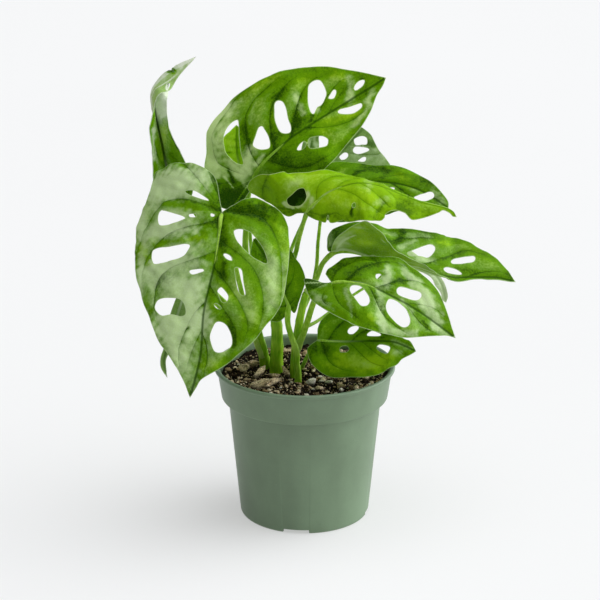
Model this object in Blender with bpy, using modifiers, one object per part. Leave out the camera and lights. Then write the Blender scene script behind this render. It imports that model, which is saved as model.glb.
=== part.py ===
"""Potted monstera: a nursery pot, its soil, three stems and thirteen leaves.

Metres, +Z up. The origin is on the pot's axis, on the surface that the pot stands on.
The front of the plant looks along -Y. Leaf values are in millimetres and degrees.
"""
import math
import random

import bpy
import bmesh
import numpy as np
from mathutils import Vector
from mathutils.geometry import delaunay_2d_cdt

MM = 0.001
GAP = 0.3 * MM

# Pot
POT_HEIGHT = 93.5 * MM
LIP_RADIUS = 54.0 * MM
LIP_INNER_RADIUS = 51.4 * MM
BAND_TOP_RADIUS = 52.2 * MM
BAND_BOTTOM_RADIUS = 49.7 * MM
BAND_HEIGHT = 19.8 * MM
WALL_TOP_RADIUS = 45.7 * MM
WALL_BOTTOM_RADIUS = 38.9 * MM
WALL_THICKNESS = 1.3 * MM
FLOOR_UNDERSIDE = 1.2 * MM
FLOOR_TOP = 3.0 * MM
FOOT_INNER_RADIUS = 36.2 * MM
NOTCH_WIDTH = 15.7 * MM
NOTCH_HEIGHT = 2.5 * MM
NOTCH_COUNT = 4
NOTCH_TURN = math.radians(-98)
DRAIN_RADIUS = 4.5 * MM
DRAIN_CIRCLE = 26.0 * MM
TURN_STEPS = 44

# Soil
SOIL_TOP = 87.0 * MM
SOIL_RIM_RADIUS = 49.4 * MM
SOIL_RINGS = 7
CRUMB_COUNT = 24
CRUMB_SEED = 7

# Plant
BLADE_THICKNESS = 0.8 * MM
LATTICE = 9.0
HOLE_SIDES = 10
HOLE_LEAST_WIDTH = 1.4
TUBE_STEP = 9.0
RIB_LENGTH = 0.42
RIB_RADIUS = 0.8

# Each stem: its radius and the points that it grows through, from under the soil to its end.
STEMS = {
    "stem_left": (3.4, [(-23.5, 11, 74), (-23.5, 11, 87), (-25.5, 8, 100), (-28, 6, 111), (-29.5, 4, 130)]),
    "stem_middle": (4.1, [(-17, 5, 74), (-17, 5, 87), (-16.5, 4, 107), (-17, 4, 120), (-19, 4, 133)]),
    "stem_right": (2.9, [(-6, -5, 74), (-6, -5, 87), (-5, -5, 108), (-2, -5, 128), (1, -5, 141)]),
}

# Bark chips that lie in the soil's top: centre, length, width, thickness, turn and tilt in degrees.
BARK_CHIPS = [
    ((-22, -19, 88.0), 20, 10, 5, 4, 4),
    ((-27, -5, 89.4), 14, 4, 4, 59, 18),
    ((-11.5, -6.5, 89.4), 12, 3.5, 3.5, 125, 24),
    ((-17, -7, 88.0), 7, 5, 4, 30, 0),
    ((-38, -14, 87.6), 8, 6, 4, 140, 0),
    ((12, -33, 87.6), 9, 6, 4, 20, 0),
    ((26, 20, 87.8), 14, 6, 4, 70, 5),
    ((-10, 34, 87.8), 16, 6, 5, 155, 4),
]

# Each leaf, in millimetres and degrees. The midrib is the points that it runs through, from
# its base to its tip. Facing is the direction that the upper side looks in, at equal steps
# from base to tip: a turn from the front towards +X, and a rise. Fold is how far each half,
# right and left, is raised at the midrib, and curl how much further it turns towards its
# margin. The outlines and holes are points (along the midrib, across it), with the right
# half positive. A closed smooth curve runs through the points of each hole.
LEAVES = {
    "leaf_front_left": dict(
        stem="stem_left", petiole_radius=1.5,
        midrib=[(-47, -30, 197), (-51, -46, 172), (-57, -58, 147), (-59, -66, 123), (-65, -70, 99)],
        facing=[(-6, 52), (-8, 34), (-6, 12)],
        fold=[(8, 6, 10), (4, 6, 10)],
        curl=[(-35, -25, -10), (-28, -20, -10)],
        lobe_bend=-14,
        right=[(-6, 2), (-20, 7), (-26, 15), (-30, 24), (-30, 33), (-28, 41), (-24, 47), (-6, 48),
               (12, 52), (36, 50), (56, 38), (66, 30), (82, 22), (99, 7)],
        left=[(-4, -5), (-8, -11), (-10, -18), (-8, -25), (-5, -32), (2, -38), (10, -40), (30, -42),
              (47, -42), (70, -33), (82, -20), (95, -5), (102, -2)],
        holes=[[(-10, 23), (-10.5, 18.5), (-9, 14), (-5.5, 8.5), (-6.5, 14.5), (-8, 20)],
               [(2, 36.5), (2, 34), (5, 22), (7, 22), (10.5, 33), (9, 36.5), (4, 37.5)],
               [(3.5, 18.5), (3.5, 14.5), (5, 14.5), (5, 18)],
               [(2, 6), (2.5, 4), (3.5, 4.5), (3.5, 6)],
               [(28.5, 38.5), (25.5, 36), (23, 24.5), (21.5, 16.5), (24.5, 16), (30, 19.5),
                (37, 33), (35.5, 36.5)],
               [(38.5, 13), (37, 12), (35.5, 6), (36.5, 5), (38, 7.5), (39.5, 11)],
               [(59, 28.5), (56.5, 27), (55, 22), (54.5, 15), (56.5, 11.5), (61, 10), (62.5, 12.5),
                (62, 18), (63, 23.5), (61, 27.5)],
               [(11.5, -8.5), (10, -10), (10, -13.5), (11.5, -18), (16, -23), (21, -27),
                (26.5, -29.5), (25.5, -24), (23, -19), (19.5, -14), (16, -10.5)],
               [(25.5, -4.5), (24.5, -5), (25, -7.5), (27, -10), (28, -9.5), (27.5, -7)],
               [(32, -12.5), (31.5, -14.5), (32.5, -16.5), (38.5, -19), (44, -21.5), (45, -20),
                (43, -17), (36.5, -14)],
               [(45.5, -5.5), (43.5, -7), (44, -8.5), (47, -12), (50, -12.5), (51.5, -11), (51, -9),
                (48.5, -7)],
               [(54, -5.5), (53, -6.5), (54.5, -9.5), (56, -9.5), (55.5, -7)],
               [(73.5, -5), (68.5, -6), (64.5, -8), (64, -11), (66, -14), (70.5, -16.5),
                (76, -17.5), (79, -15), (80.5, -11), (79.5, -7.5)]],
        petiole=[(-25, 8, 95), (-29, 4, 106), (-34, -3, 126), (-39, -14, 153), (-43, -24, 178),
                 (-47, -30, 197)]),
    "leaf_top": dict(
        stem="stem_left", petiole_radius=1.9,
        midrib=[(-30, 6, 207), (-24, 5, 216), (-17, 5, 223), (-8, 5, 231), (1, 6, 237),
                (22, 12, 249), (47, 16, 264)],
        facing=[(8, 18), (12, 16), (14, 20)],
        fold=[(4, 4, 10), (4, 0, 8)],
        curl=[(-10, -10, -6), (-55, -30, -10)],
        lobe_bend=-10,
        right=[(-2, 5), (-4, 10), (-4, 16), (-4, 24), (-2, 30), (3, 34), (20, 32), (28, 30),
               (40, 26), (50, 24), (61, 20), (70, 17), (80, 12), (88, 6), (94, 3)],
        left=[(-5, 3), (-11, 3), (-18, 3), (-24, 1), (-28, -4), (-27, -12), (-22, -20), (-16, -26),
              (-7, -34), (0, -40), (8, -42), (14, -42), (26, -42), (35, -40), (49, -36), (60, -31),
              (72, -24), (80, -17), (88, -10)],
        holes=[[(8, -28), (10.5, -30), (12.5, -30.5), (15, -30), (16, -28), (12.5, -22),
                (9.5, -16.5), (4, -9.5), (2, -11.5), (1.5, -16.5), (2.5, -21.5), (5, -24.5)],
               [(14.5, -12), (18.5, -14.5), (22.5, -16.5), (24.5, -16), (24.5, -14), (23.5, -9.5),
                (21.5, -5.5), (19, -4), (15.5, -6.5), (14, -10)],
               [(34.5, -18.5), (36.5, -22), (38.5, -22), (40, -19.5), (39.5, -15.5), (37.5, -10),
                (36.5, -5.5), (34.5, -3), (32, -4), (30.5, -6.5), (31, -10.5), (32.5, -15)],
               [(55.5, -17), (58, -20), (61.5, -20.5), (64.5, -19), (65, -16), (64, -11),
                (61.5, -8.5), (58, -6.5), (55, -6.5), (51.5, -4.5), (50.5, -6.5), (52, -11.5)],
               [(63.5, -7.5), (66, -9), (68.5, -10), (69.5, -9), (68.5, -7.5), (66, -6)],
               [(79, -4.5), (81, -6), (84, -6.5), (86.5, -5.5), (85.5, -4), (83, -3), (79.5, -3)],
               [(64, 2), (66, 1.5), (70.5, 3), (74.5, 4), (78, 5), (77, 7), (72, 7.5), (68, 6),
                (64.5, 3.5)],
               [(32, 7), (35, 6), (38, 6), (38.5, 7.5), (36.5, 9), (33.5, 9), (31.5, 8)],
               [(40.5, 7), (43, 6.5), (48.5, 9), (50.5, 12), (50, 13.5), (48, 15), (44.5, 14),
                (39.5, 11.5), (39, 9.5)]],
        petiole=[(-29, 4, 129), (-32, 7, 142), (-35, 11, 161), (-34, 12, 182), (-33, 10, 196),
                 (-30, 6, 207)]),
    "leaf_left_curled": dict(
        stem="stem_left", petiole_radius=1.3,
        midrib=[(-79, 24, 189), (-81, 22, 206), (-84, 20, 225), (-87, 20, 240), (-89, 22, 252),
                (-85, 24, 260), (-77, 25, 267), (-63, 26, 274)],
        facing=[(5, 5), (5, 3), (12, 0), (80, 0), (150, 8), (160, 15)],
        fold=[(35, 40, 60, 100, 112, 112), (45, 50, 45, 20, 0, -8)],
        curl=[(10, 10, 10), (10, 10, 10)],
        lobe_bend=0,
        right=[(-5, 5), (-3, 11), (6, 16), (18, 18), (36, 13), (50, 9), (60, 9), (70, 9), (84, 5)],
        left=[(-5, -5), (-3, -10), (6, -13), (20, -13), (38, -10), (52, -10), (62, -11), (72, -10),
              (84, -6)],
        holes=[[(83, 0), (85, 2), (83.5, 8), (81.5, 4)],
               [(76, -5), (77, -6), (74, -8), (72, -9), (73, -6.5)]],
        petiole=[(-28, 6, 111), (-37, 15, 116), (-47, 24, 123), (-56, 28, 132), (-59, 28, 146),
                 (-61, 28, 165), (-64, 27, 177), (-70, 26, 184), (-79, 24, 189)]),
    "leaf_back_right": dict(
        stem="stem_middle", petiole_radius=1.2,
        midrib=[(8, 46, 191), (18, 48, 206), (28, 50, 217), (35, 52, 225)],
        facing=[(10, 20), (10, 18), (10, 16)],
        fold=[(8, 8, 8), (8, 8, 8)],
        curl=[(-20, -20, -10), (-20, -20, -10)],
        lobe_bend=0,
        right=[(-2, 10), (2, 22), (14, 34), (32, 34), (37, 29), (39, 22), (40, 16), (42, 11),
               (44, 6)],
        left=[(-2, -6), (1, -13), (10, -19), (18, -23), (22, -22), (30, -18), (37, -12), (42, -6)],
        holes=[[(34.5, 1), (36, 0.5), (39, 2), (40.5, 4), (40.5, 6), (38, 8), (36, 6), (33.5, 3.5)],
               [(30.5, 4), (32.5, 4), (34.5, 6.5), (36.5, 10), (36, 11.5), (33, 10), (30.5, 8),
                (29.5, 5.5)],
               [(21.5, 1), (23.5, 1), (25.5, 1.5), (26.5, 3), (25.5, 4.5), (23, 4.5), (21, 3)],
               [(27.5, 11), (29, 11), (31, 11.5), (32, 13), (30, 14)],
               [(23, -16.5), (25.5, -15), (27, -11), (23, -7), (19.5, -8), (18, -11), (20.5, -14)]],
        petiole=[(-18, 4, 125), (-15, 14, 135), (-8, 28, 156), (1, 40, 174), (8, 46, 191)]),
    "leaf_middle_bright": dict(
        stem="stem_middle", petiole_radius=1.5,
        midrib=[(0, -14, 191), (5, -17, 197), (12, -17, 204), (21, -16, 208), (31, -15, 210),
                (43, -14, 208), (55, -14, 203), (66, -16, 199), (76, -18, 197), (81, -19, 196),
                (85, -20, 194), (87, -21, 191)],
        facing=[(-8, 14), (0, 88), (8, 60)],
        fold=[(-5, -30, -20), (0, -4, -10)],
        curl=[(-20, -60, -20), (0, -40, -20)],
        lobe_bend=-4,
        right=[(0, 2), (2, 7), (6, 12), (10, 10), (8, 14), (14, 18), (27, 22), (44, 24), (57, 22),
               (60, 19), (60, 16), (64, 12), (70, 11), (74, 13), (76, 13), (80, 10), (84, 7),
               (88, 4), (90, 2), (94, 2), (98, 2)],
        left=[(-4, -3), (-11, -6), (-13, -16), (-17, -25), (-20, -32), (-18, -35), (-12, -36),
              (-4, -34), (2, -29), (12, -24), (18, -18), (28, -16), (42, -14), (55, -8), (67, -3),
              (80, -2), (94, -1)],
        holes=[[(-2.5, -13), (2, -13), (7, -13), (10.5, -11.5), (10, -9), (7.5, -6), (2.5, -5),
                (-2.5, -7.5), (-4.5, -10.5)],
               [(31, 12.5), (33, 12.5), (32.5, 14.5), (30.5, 14.5)]],
        petiole=[(-19, 4, 132), (-12, 6, 145), (-6, 5, 159), (-3, -2, 174), (0, -14, 191)]),
    "leaf_middle_dark": dict(
        stem="stem_right", petiole_radius=1.15,
        midrib=[(9, 20, 184), (21, 22, 192), (36, 24, 199), (54, 22, 199), (70, 14, 196),
                (84, 4, 189)],
        facing=[(0, 50), (5, 52), (12, 40)],
        fold=[(0, -6, -6), (6, 6, 6)],
        curl=[(-20, -30, -20), (-20, -26, -20)],
        lobe_bend=-8,
        right=[(-2, 4), (2, 12), (12, 18), (38, 22), (62, 16), (80, 8)],
        left=[(-1, -8), (1, -16), (10, -22), (21, -22), (29, -16), (38, -12), (51, -12), (68, -8),
              (82, -4)],
        holes=[[(64.5, 6), (66.5, 3), (70, -1.5), (72.5, -2.5), (74.5, -0.5), (73, 4), (68, 6.5)],
               [(46.5, 3.5), (49, 3), (49.5, 4.5), (47, 4.5)]],
        petiole=[(-1, -5, 130), (4, 0, 140), (7, 6, 153), (8, 12, 167), (9, 20, 184)]),
    "leaf_right_long": dict(
        stem="stem_right", petiole_radius=1.6,
        midrib=[(15, -8, 166), (23, -10, 169), (40, -10, 164), (59, -7, 158), (74, -3, 152),
                (87, 0, 148), (100, 3, 147), (114, 5, 146), (125, 6, 143)],
        facing=[(0, 56), (0, 50), (0, 50)],
        fold=[(86, 84, 68, 20, 5), (4, 4, 4)],
        curl=[(10, 10, 0), (-10, -16, -10)],
        lobe_bend=-6,
        right=[(6, 8), (10, 21), (14, 30), (20, 29), (26, 24), (34, 14), (42, 10), (52, 10),
               (62, 11), (90, 2), (100, 2), (112, 1)],
        left=[(-2, -2), (-2, -8), (0, -14), (5, -16), (9, -18), (13, -20), (20, -22), (33, -23),
              (44, -25), (63, -28), (74, -29), (85, -28), (90, -25), (96, -20), (104, -14),
              (109, -8)],
        holes=[[(47.5, -8), (51.5, -11), (57.5, -15.5), (63, -18.5), (65.5, -17.5), (65, -14),
                (61.5, -9.5), (54.5, -8), (49, -6.5)],
               [(77.5, -10.5), (80.5, -12.5), (87.5, -13.5), (92, -14), (93, -12.5), (91.5, -10),
                (87, -9), (78.5, -9)],
               [(71.5, -4), (74, -5.5), (79, -5.5), (82.5, -3.5), (83.5, -2), (78.5, -2),
                (73.5, -2.5)]],
        petiole=[(1, -5, 140), (5, -5, 145), (8, -5, 152), (11, -6, 159), (15, -8, 166)]),
    "leaf_right_low": dict(
        stem="stem_right", petiole_radius=1.8,
        midrib=[(15, -37, 157), (32, -41, 158), (50, -41, 150), (67, -39, 139), (87, -37, 123)],
        facing=[(-4, 50), (0, 48), (6, 34)],
        fold=[(4, 4, 6), (4, 4, 6)],
        curl=[(-24, -20, -10), (-30, -30, -14)],
        lobe_bend=-6,
        right=[(-5, 0), (-10, -2), (-16, -3), (-16, 0), (-12, 9), (-6, 15), (12, 25), (29, 26),
               (42, 23), (56, 18), (70, 8), (78, 2)],
        left=[(-3, -4), (-4, -6), (-2, -11), (4, -16), (12, -18), (22, -22), (34, -28), (44, -25),
              (54, -22), (61, -18), (68, -12), (75, -6)],
        holes=[[(12, 6), (12.5, 3), (15, 2), (18, 2.5), (21.5, 5), (24.5, 7.5), (25.5, 10.5),
                (24, 13.5), (20.5, 14.5), (15.5, 10.5)],
               [(35.5, 8), (35.5, 4), (37.5, 2), (41, 1.5), (44.5, 2.5), (48.5, 4), (52, 8),
                (52.5, 12), (49.5, 14.5), (44, 14), (38.5, 11.5)],
               [(38.5, -4), (39, -6.5), (42, -8.5), (47.5, -9.5), (52, -10.5), (53.5, -8.5),
                (51.5, -5), (46, -3), (40.5, -2.5)],
               [(24.5, -7), (24.5, -8.5), (26.5, -9.5), (27.5, -8.5), (27, -7), (25.5, -6)]],
        petiole=[(-5, -5, 104), (0, -11, 119), (5, -21, 139), (9, -30, 149), (15, -37, 157)]),
    "leaf_right_lowest": dict(
        stem=None, petiole_radius=1.2,
        midrib=[(7, -18, 115), (23, -20, 115), (38, -22, 116), (52, -24, 116), (65, -26, 111)],
        facing=[(-4, 44), (0, 42), (0, 36)],
        fold=[(4, 4, 4), (4, 4, 4)],
        curl=[(-24, -24, -14), (-20, -20, -10)],
        lobe_bend=-4,
        right=[(-4, 4), (-5, 8), (-1, 16), (9, 22), (20, 22), (29, 22), (38, 20), (51, 14), (54, 8),
               (57, 4)],
        left=[(0, -4), (0, -8), (2, -14), (8, -20), (20, -20), (30, -14), (40, -6), (50, -4),
              (54, -4)],
        holes=[[(14, 5), (15, 3.5), (17.5, 3), (19, 4.5), (18.5, 6.5), (16.5, 7), (14.5, 7)],
               [(35.5, 4), (37, 2.5), (39.5, 2.5), (43.5, 3.5), (43.5, 6), (42, 8), (38.5, 7),
                (36, 5.5)],
               [(18, -6), (19, -8), (22, -9.5), (24.5, -9), (24, -7), (21.5, -4.5), (19, -4.5)],
               [(29.5, -4), (31, -5.5), (33, -6), (37, -4.5), (37, -3), (30.5, -3)]],
        petiole=[(-2, 5, 76), (-2, 5, 87), (1, -3, 98), (4, -11, 107), (7, -18, 115)]),
    "leaf_far_right": dict(
        stem="stem_right", petiole_radius=0.9,
        midrib=[(53, 34, 146), (61, 34, 148), (70, 34, 145), (78, 34, 139), (83, 34, 132),
                (86, 34, 120)],
        facing=[(0, 40), (0, 38), (0, 34)],
        fold=[(6, 6, 6), (6, 6, 6)],
        curl=[(-15, -15, -8), (-15, -15, -8)],
        lobe_bend=0,
        right=[(-3, 4), (3, 6), (14, 6), (22, 4), (28, 3), (35, 4), (42, 2), (46, 2)],
        left=[(-2, -4), (3, -7), (8, -8), (11, -6), (16, -4), (23, -3), (31, -2), (38, -2),
              (45, -2)],
        holes=[],
        petiole=[(-3, -5, 117), (7, 3, 119), (19, 15, 124), (29, 25, 128), (36, 30, 131),
                 (43, 33, 134), (49, 34, 140), (53, 34, 146)]),
    "leaf_centre_small": dict(
        stem=None, petiole_radius=1.9,
        midrib=[(-9, -8, 131), (-13, -9, 142), (-20, -8, 158), (-30, -5, 173)],
        facing=[(4, 24), (4, 22), (6, 24)],
        fold=[(8, 8, 8), (8, 8, 8)],
        curl=[(-20, -20, -10), (-20, -20, -10)],
        lobe_bend=0,
        right=[(-4, 2), (2, 7), (8, 12), (12, 15), (17, 16), (22, 16), (26, 15), (30, 15), (38, 14),
               (45, 8)],
        left=[(-4, -5), (-4, -11), (4, -17), (16, -18), (30, -13), (42, -6)],
        holes=[],
        petiole=[(-4, -12, 76), (-4, -12, 93), (-5, -12, 99), (-5, -12, 106), (-8, -11, 115),
                 (-10, -10, 123), (-9, -8, 131)]),
    "leaf_inner_back": dict(
        stem="stem_left", petiole_radius=1.1,
        midrib=[(-35, 26, 190), (-38, 26, 205), (-40, 26, 218), (-40, 28, 233)],
        facing=[(10, 10), (10, 5), (10, 0)],
        fold=[(10, 10, 10), (10, 10, 10)],
        curl=[(20, 10, -10), (10, 10, -10)],
        lobe_bend=0,
        right=[(3, 4), (11, 8), (21, 8), (34, 6), (40, 3)],
        left=[(5, -4), (12, -8), (20, -9), (28, -10), (36, -8), (40, -4)],
        holes=[],
        petiole=[(-29, 5, 120), (-30, 13, 135), (-32, 22, 158), (-33, 25, 174), (-35, 26, 190)]),
    "leaf_left_hidden": dict(
        stem="stem_left", petiole_radius=1,
        midrib=[(-70, -4, 141), (-73, -7, 133), (-77, -11, 121), (-81, -15, 109), (-83, -17, 101),
                (-81, -18, 91)],
        facing=[(-20, 30), (-20, 20), (-20, 10)],
        fold=[(20, 25, 20), (20, 25, 20)],
        curl=[(-10, -10, -10), (-10, -10, -10)],
        lobe_bend=0,
        right=[(2, 3), (9, 4), (21, 4), (34, 2), (42, 2), (48, 2)],
        left=[(0, -4), (6, -9), (19, -10), (32, -6), (40, -2), (46, -1)],
        holes=[],
        petiole=[(-27, 6, 106), (-29, 12, 107), (-34, 14, 109), (-46, 12, 120), (-59, 6, 135),
                 (-65, 0, 144), (-70, -4, 141)]),
}

POT_COLOUR = (0.105, 0.155, 0.095, 1.0)
SOIL_COLOUR = (0.030, 0.020, 0.013, 1.0)
STEM_COLOUR = (0.200, 0.360, 0.060, 1.0)
LEAF_COLOURS = {
    "leaf_front_left": (0.150, 0.300, 0.060, 1.0),
    "leaf_top": (0.070, 0.210, 0.015, 1.0),
    "leaf_left_curled": (0.220, 0.380, 0.130, 1.0),
    "leaf_back_right": (0.280, 0.450, 0.230, 1.0),
    "leaf_middle_bright": (0.230, 0.480, 0.020, 1.0),
    "leaf_far_right": (0.350, 0.520, 0.280, 1.0),
}
LEAF_COLOUR = (0.080, 0.230, 0.020, 1.0)


def clear_scene():
    """Removes the objects that the file opened with."""
    for obj in list(bpy.data.objects):
        bpy.data.objects.remove(obj, do_unlink=True)


def new_collection(name):
    """Adds a collection to the scene."""
    collection = bpy.data.collections.new(name)
    bpy.context.scene.collection.children.link(collection)
    return collection


def material(name, colour, roughness):
    """A plain Principled material."""
    mat = bpy.data.materials.new(name)
    mat.use_nodes = True
    shader = mat.node_tree.nodes["Principled BSDF"]
    shader.inputs["Base Color"].default_value = colour
    shader.inputs["Roughness"].default_value = roughness
    shader.inputs["Metallic"].default_value = 0.0
    return mat


def add_object(name, data, collection, mat=None):
    """Links a new object and gives it its material."""
    obj = bpy.data.objects.new(name, data)
    collection.objects.link(obj)
    if mat is not None:
        obj.data.materials.append(mat)
    return obj


def hide_helper(obj):
    """Marks a cutter or a guide."""
    obj.hide_render = True
    obj.display_type = "WIRE"


def settle(obj, helpers=()):
    """Turns an object's modifiers into its mesh and removes the helpers that they used."""
    depsgraph = bpy.context.evaluated_depsgraph_get()
    mesh = bpy.data.meshes.new_from_object(obj.evaluated_get(depsgraph))
    obj.modifiers.clear()
    obj.data = mesh
    for helper in helpers:
        bpy.data.objects.remove(helper, do_unlink=True)


def union_all(obj, pieces, collection):
    """Joins pieces to an object in one Boolean union and removes them."""
    group = bpy.data.collections.new(obj.name + "_pieces")
    collection.children.link(group)
    for piece in pieces:
        collection.objects.unlink(piece)
        group.objects.link(piece)
    join = obj.modifiers.new("join", "BOOLEAN")
    join.operation = "UNION"
    join.operand_type = "COLLECTION"
    join.collection = group
    join.solver = "EXACT"
    settle(obj, pieces)
    bpy.data.collections.remove(group)


def cut_all(obj, cutters):
    """Cuts each cutter out of an object."""
    for cutter in cutters:
        cut = obj.modifiers.new("cut_" + cutter.name, "BOOLEAN")
        cut.operation = "DIFFERENCE"
        cut.object = cutter
        cut.solver = "EXACT"
    settle(obj)


def shade(obj, angle=40):
    """Shades an object smooth, with sharp edges past an angle."""
    obj.data.shade_smooth()
    obj.data.set_sharp_from_angle(angle=math.radians(angle))


# Curves in space

def smooth_curve(points, per_span=12):
    """A curve that passes through every point: cubic spans whose slope at a point is half
    the step between its neighbours."""
    p = np.asarray(points, float)
    p = np.vstack([2 * p[0] - p[1], p, 2 * p[-1] - p[-2]])
    t = np.linspace(0, 1, per_span, endpoint=False)[:, None]
    spans = []
    for a, b, c, d in zip(p, p[1:], p[2:], p[3:]):
        spans.append(0.5 * (2 * b + (c - a) * t + (2 * a - 5 * b + 4 * c - d) * t ** 2
                            + (3 * b - a - 3 * c + d) * t ** 3))
    return np.vstack(spans + [p[-2:-1]])


def run_length(points):
    """The length along a curve up to each of its points."""
    return np.append(0, np.cumsum(np.linalg.norm(np.diff(points, axis=0), axis=1)))


def even_points(points, step):
    """Points along the smooth curve, about one step apart."""
    dense = smooth_curve(points, 24)
    run = run_length(dense)
    count = max(2, round(run[-1] / step))
    at = np.linspace(0, run[-1], count + 1)
    return np.stack([np.interp(at, run, dense[:, k]) for k in range(3)], -1)


def longer(points, extra):
    """The same points with the first and the last one moved outwards along the line."""
    p = np.asarray(points, float)
    first = p[0] + unit(p[0] - p[1]) * extra
    last = p[-1] + unit(p[-1] - p[-2]) * extra
    return np.vstack([first, p[1:-1], last])


def unit(vectors):
    """Vectors of length one."""
    return vectors / np.maximum(np.linalg.norm(vectors, axis=-1, keepdims=True), 1e-9)


def tube(name, points, start_radius, end_radius, collection, step=TUBE_STEP, grow=0.0, sides=2):
    """A closed round rod along a smooth curve through the points (mm), as a mesh."""
    route = even_points(points, step)
    curve = bpy.data.curves.new(name, "CURVE")
    curve.dimensions = "3D"
    curve.bevel_depth = 1.0 * MM
    curve.bevel_resolution = sides
    curve.use_fill_caps = True
    spline = curve.splines.new("POLY")
    spline.points.add(len(route) - 1)
    for point, place, share in zip(spline.points, route, np.linspace(0, 1, len(route))):
        point.co = (*(place * MM), 1.0)
        point.radius = start_radius * (1 - share) + end_radius * share + grow
    curved = add_object(name + "_curve", curve, collection)
    depsgraph = bpy.context.evaluated_depsgraph_get()
    mesh = bpy.data.meshes.new_from_object(curved.evaluated_get(depsgraph))
    bm = bmesh.new()
    bm.from_mesh(mesh)
    bmesh.ops.remove_doubles(bm, verts=bm.verts, dist=0.00001)
    bm.to_mesh(mesh)
    bm.free()
    rod = add_object(name, mesh, collection)
    rod.matrix_world = curved.matrix_world
    bpy.data.objects.remove(curved, do_unlink=True)
    return rod


# Leaves

def along(values, s):
    """Values given at equal steps from base to tip, joined by a smooth curve."""
    c = smooth_curve(np.asarray(values, float).reshape(len(values), -1), 16)
    at = np.clip(s, 0, 1) * (len(c) - 1)
    joined = np.stack([np.interp(at, np.arange(len(c)), c[:, k]) for k in range(c.shape[1])], -1)
    return joined if joined.shape[-1] > 1 else joined[..., 0]


def directions(pairs):
    """Unit vectors from pairs of turn (from -Y towards +X) and rise, in degrees."""
    turn, rise = np.radians(np.asarray(pairs, float)).T
    return np.stack([np.sin(turn) * np.cos(rise), -np.cos(turn) * np.cos(rise), np.sin(rise)], -1)


def blade_points(leaf, u, v):
    """Places on the blade's upper side (mm) for distances along and across the midrib.

    Across the midrib each half is an arc: it leaves the midrib at the fold angle, and its
    angle grows evenly by the curl towards the margin. Behind the base the lobes go on
    along the midrib's line, bent by the lobe angle every 20 mm.
    """
    u = np.asarray(u, float)
    v = np.asarray(v, float)
    line = smooth_curve(leaf["midrib"], 24)
    run = run_length(line)
    length = run[-1]

    def on_midrib(distance):
        at = np.clip(distance, 0, length)
        return np.stack([np.interp(at, run, line[:, k]) for k in range(3)], -1)

    base = np.clip(u, 0, length)
    place = on_midrib(base)
    forward = unit(on_midrib(base + 1.5) - on_midrib(base - 1.5))
    s = base / length
    up = along(directions(leaf["facing"]), s)
    up = unit(up - forward * np.sum(up * forward, -1, keepdims=True))
    side = np.cross(forward, up)

    behind = np.maximum(-u, 0)[..., None]
    bend = math.radians(leaf["lobe_bend"] or 0.01) / 20
    place = place - forward * np.sin(bend * behind) / bend + up * (1 - np.cos(bend * behind)) / bend
    up = up * np.cos(bend * behind) + forward * np.sin(bend * behind)
    place = place + forward * np.maximum(u - length, 0)[..., None]

    right = v >= 0
    fold = np.radians(np.where(right, along(leaf["fold"][0], s), along(leaf["fold"][1], s)))
    curl = np.radians(np.where(right, along(leaf["curl"][0], s), along(leaf["curl"][1], s)))
    turn = curl / (0.4 * length)
    turn = np.where(np.abs(turn) < 1e-6, 1e-6, turn)
    end = fold + turn * np.abs(v)
    across = np.sign(v) * (np.sin(end) - np.sin(fold)) / turn
    rise = (np.cos(fold) - np.cos(end)) / turn
    return place + side * across[..., None] + up * rise[..., None]


def midrib_length(leaf):
    """The midrib's length in mm."""
    return run_length(smooth_curve(leaf["midrib"], 24))[-1]


def blade_outline(leaf, per_span=2):
    """The flat outline of a blade: up the right half to the tip and back down the left."""
    tip = (midrib_length(leaf), 0)
    right = smooth_curve([(0, 0)] + leaf["right"] + [tip], per_span)
    left = smooth_curve([(0, 0)] + leaf["left"] + [tip], per_span)
    return np.vstack([right, left[-2:0:-1]])


def hole_outline(hole, sides=HOLE_SIDES):
    """Evenly spaced corners on a closed smooth curve through a hole's points."""
    curve = smooth_curve([hole[-1]] + hole + hole[:2], 12)[12:12 * (len(hole) + 1) + 1]
    run = run_length(curve)
    at = np.linspace(0, run[-1], sides, endpoint=False)
    return np.stack([np.interp(at, run, curve[:, k]) for k in (0, 1)], -1)


def inside(points, ring):
    """Tells which points lie inside a closed ring, by counting the edges to their right."""
    x, y = points[:, 0:1], points[:, 1:2]
    x0, y0 = ring[:, 0], ring[:, 1]
    x1, y1 = np.roll(x0, -1), np.roll(y0, -1)
    spans = (y0 > y) != (y1 > y)
    crossing = x0 + (y - y0) * (x1 - x0) / np.where(y1 == y0, 1e-9, y1 - y0)
    return np.sum(spans & (x < crossing), axis=1) % 2 == 1


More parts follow.
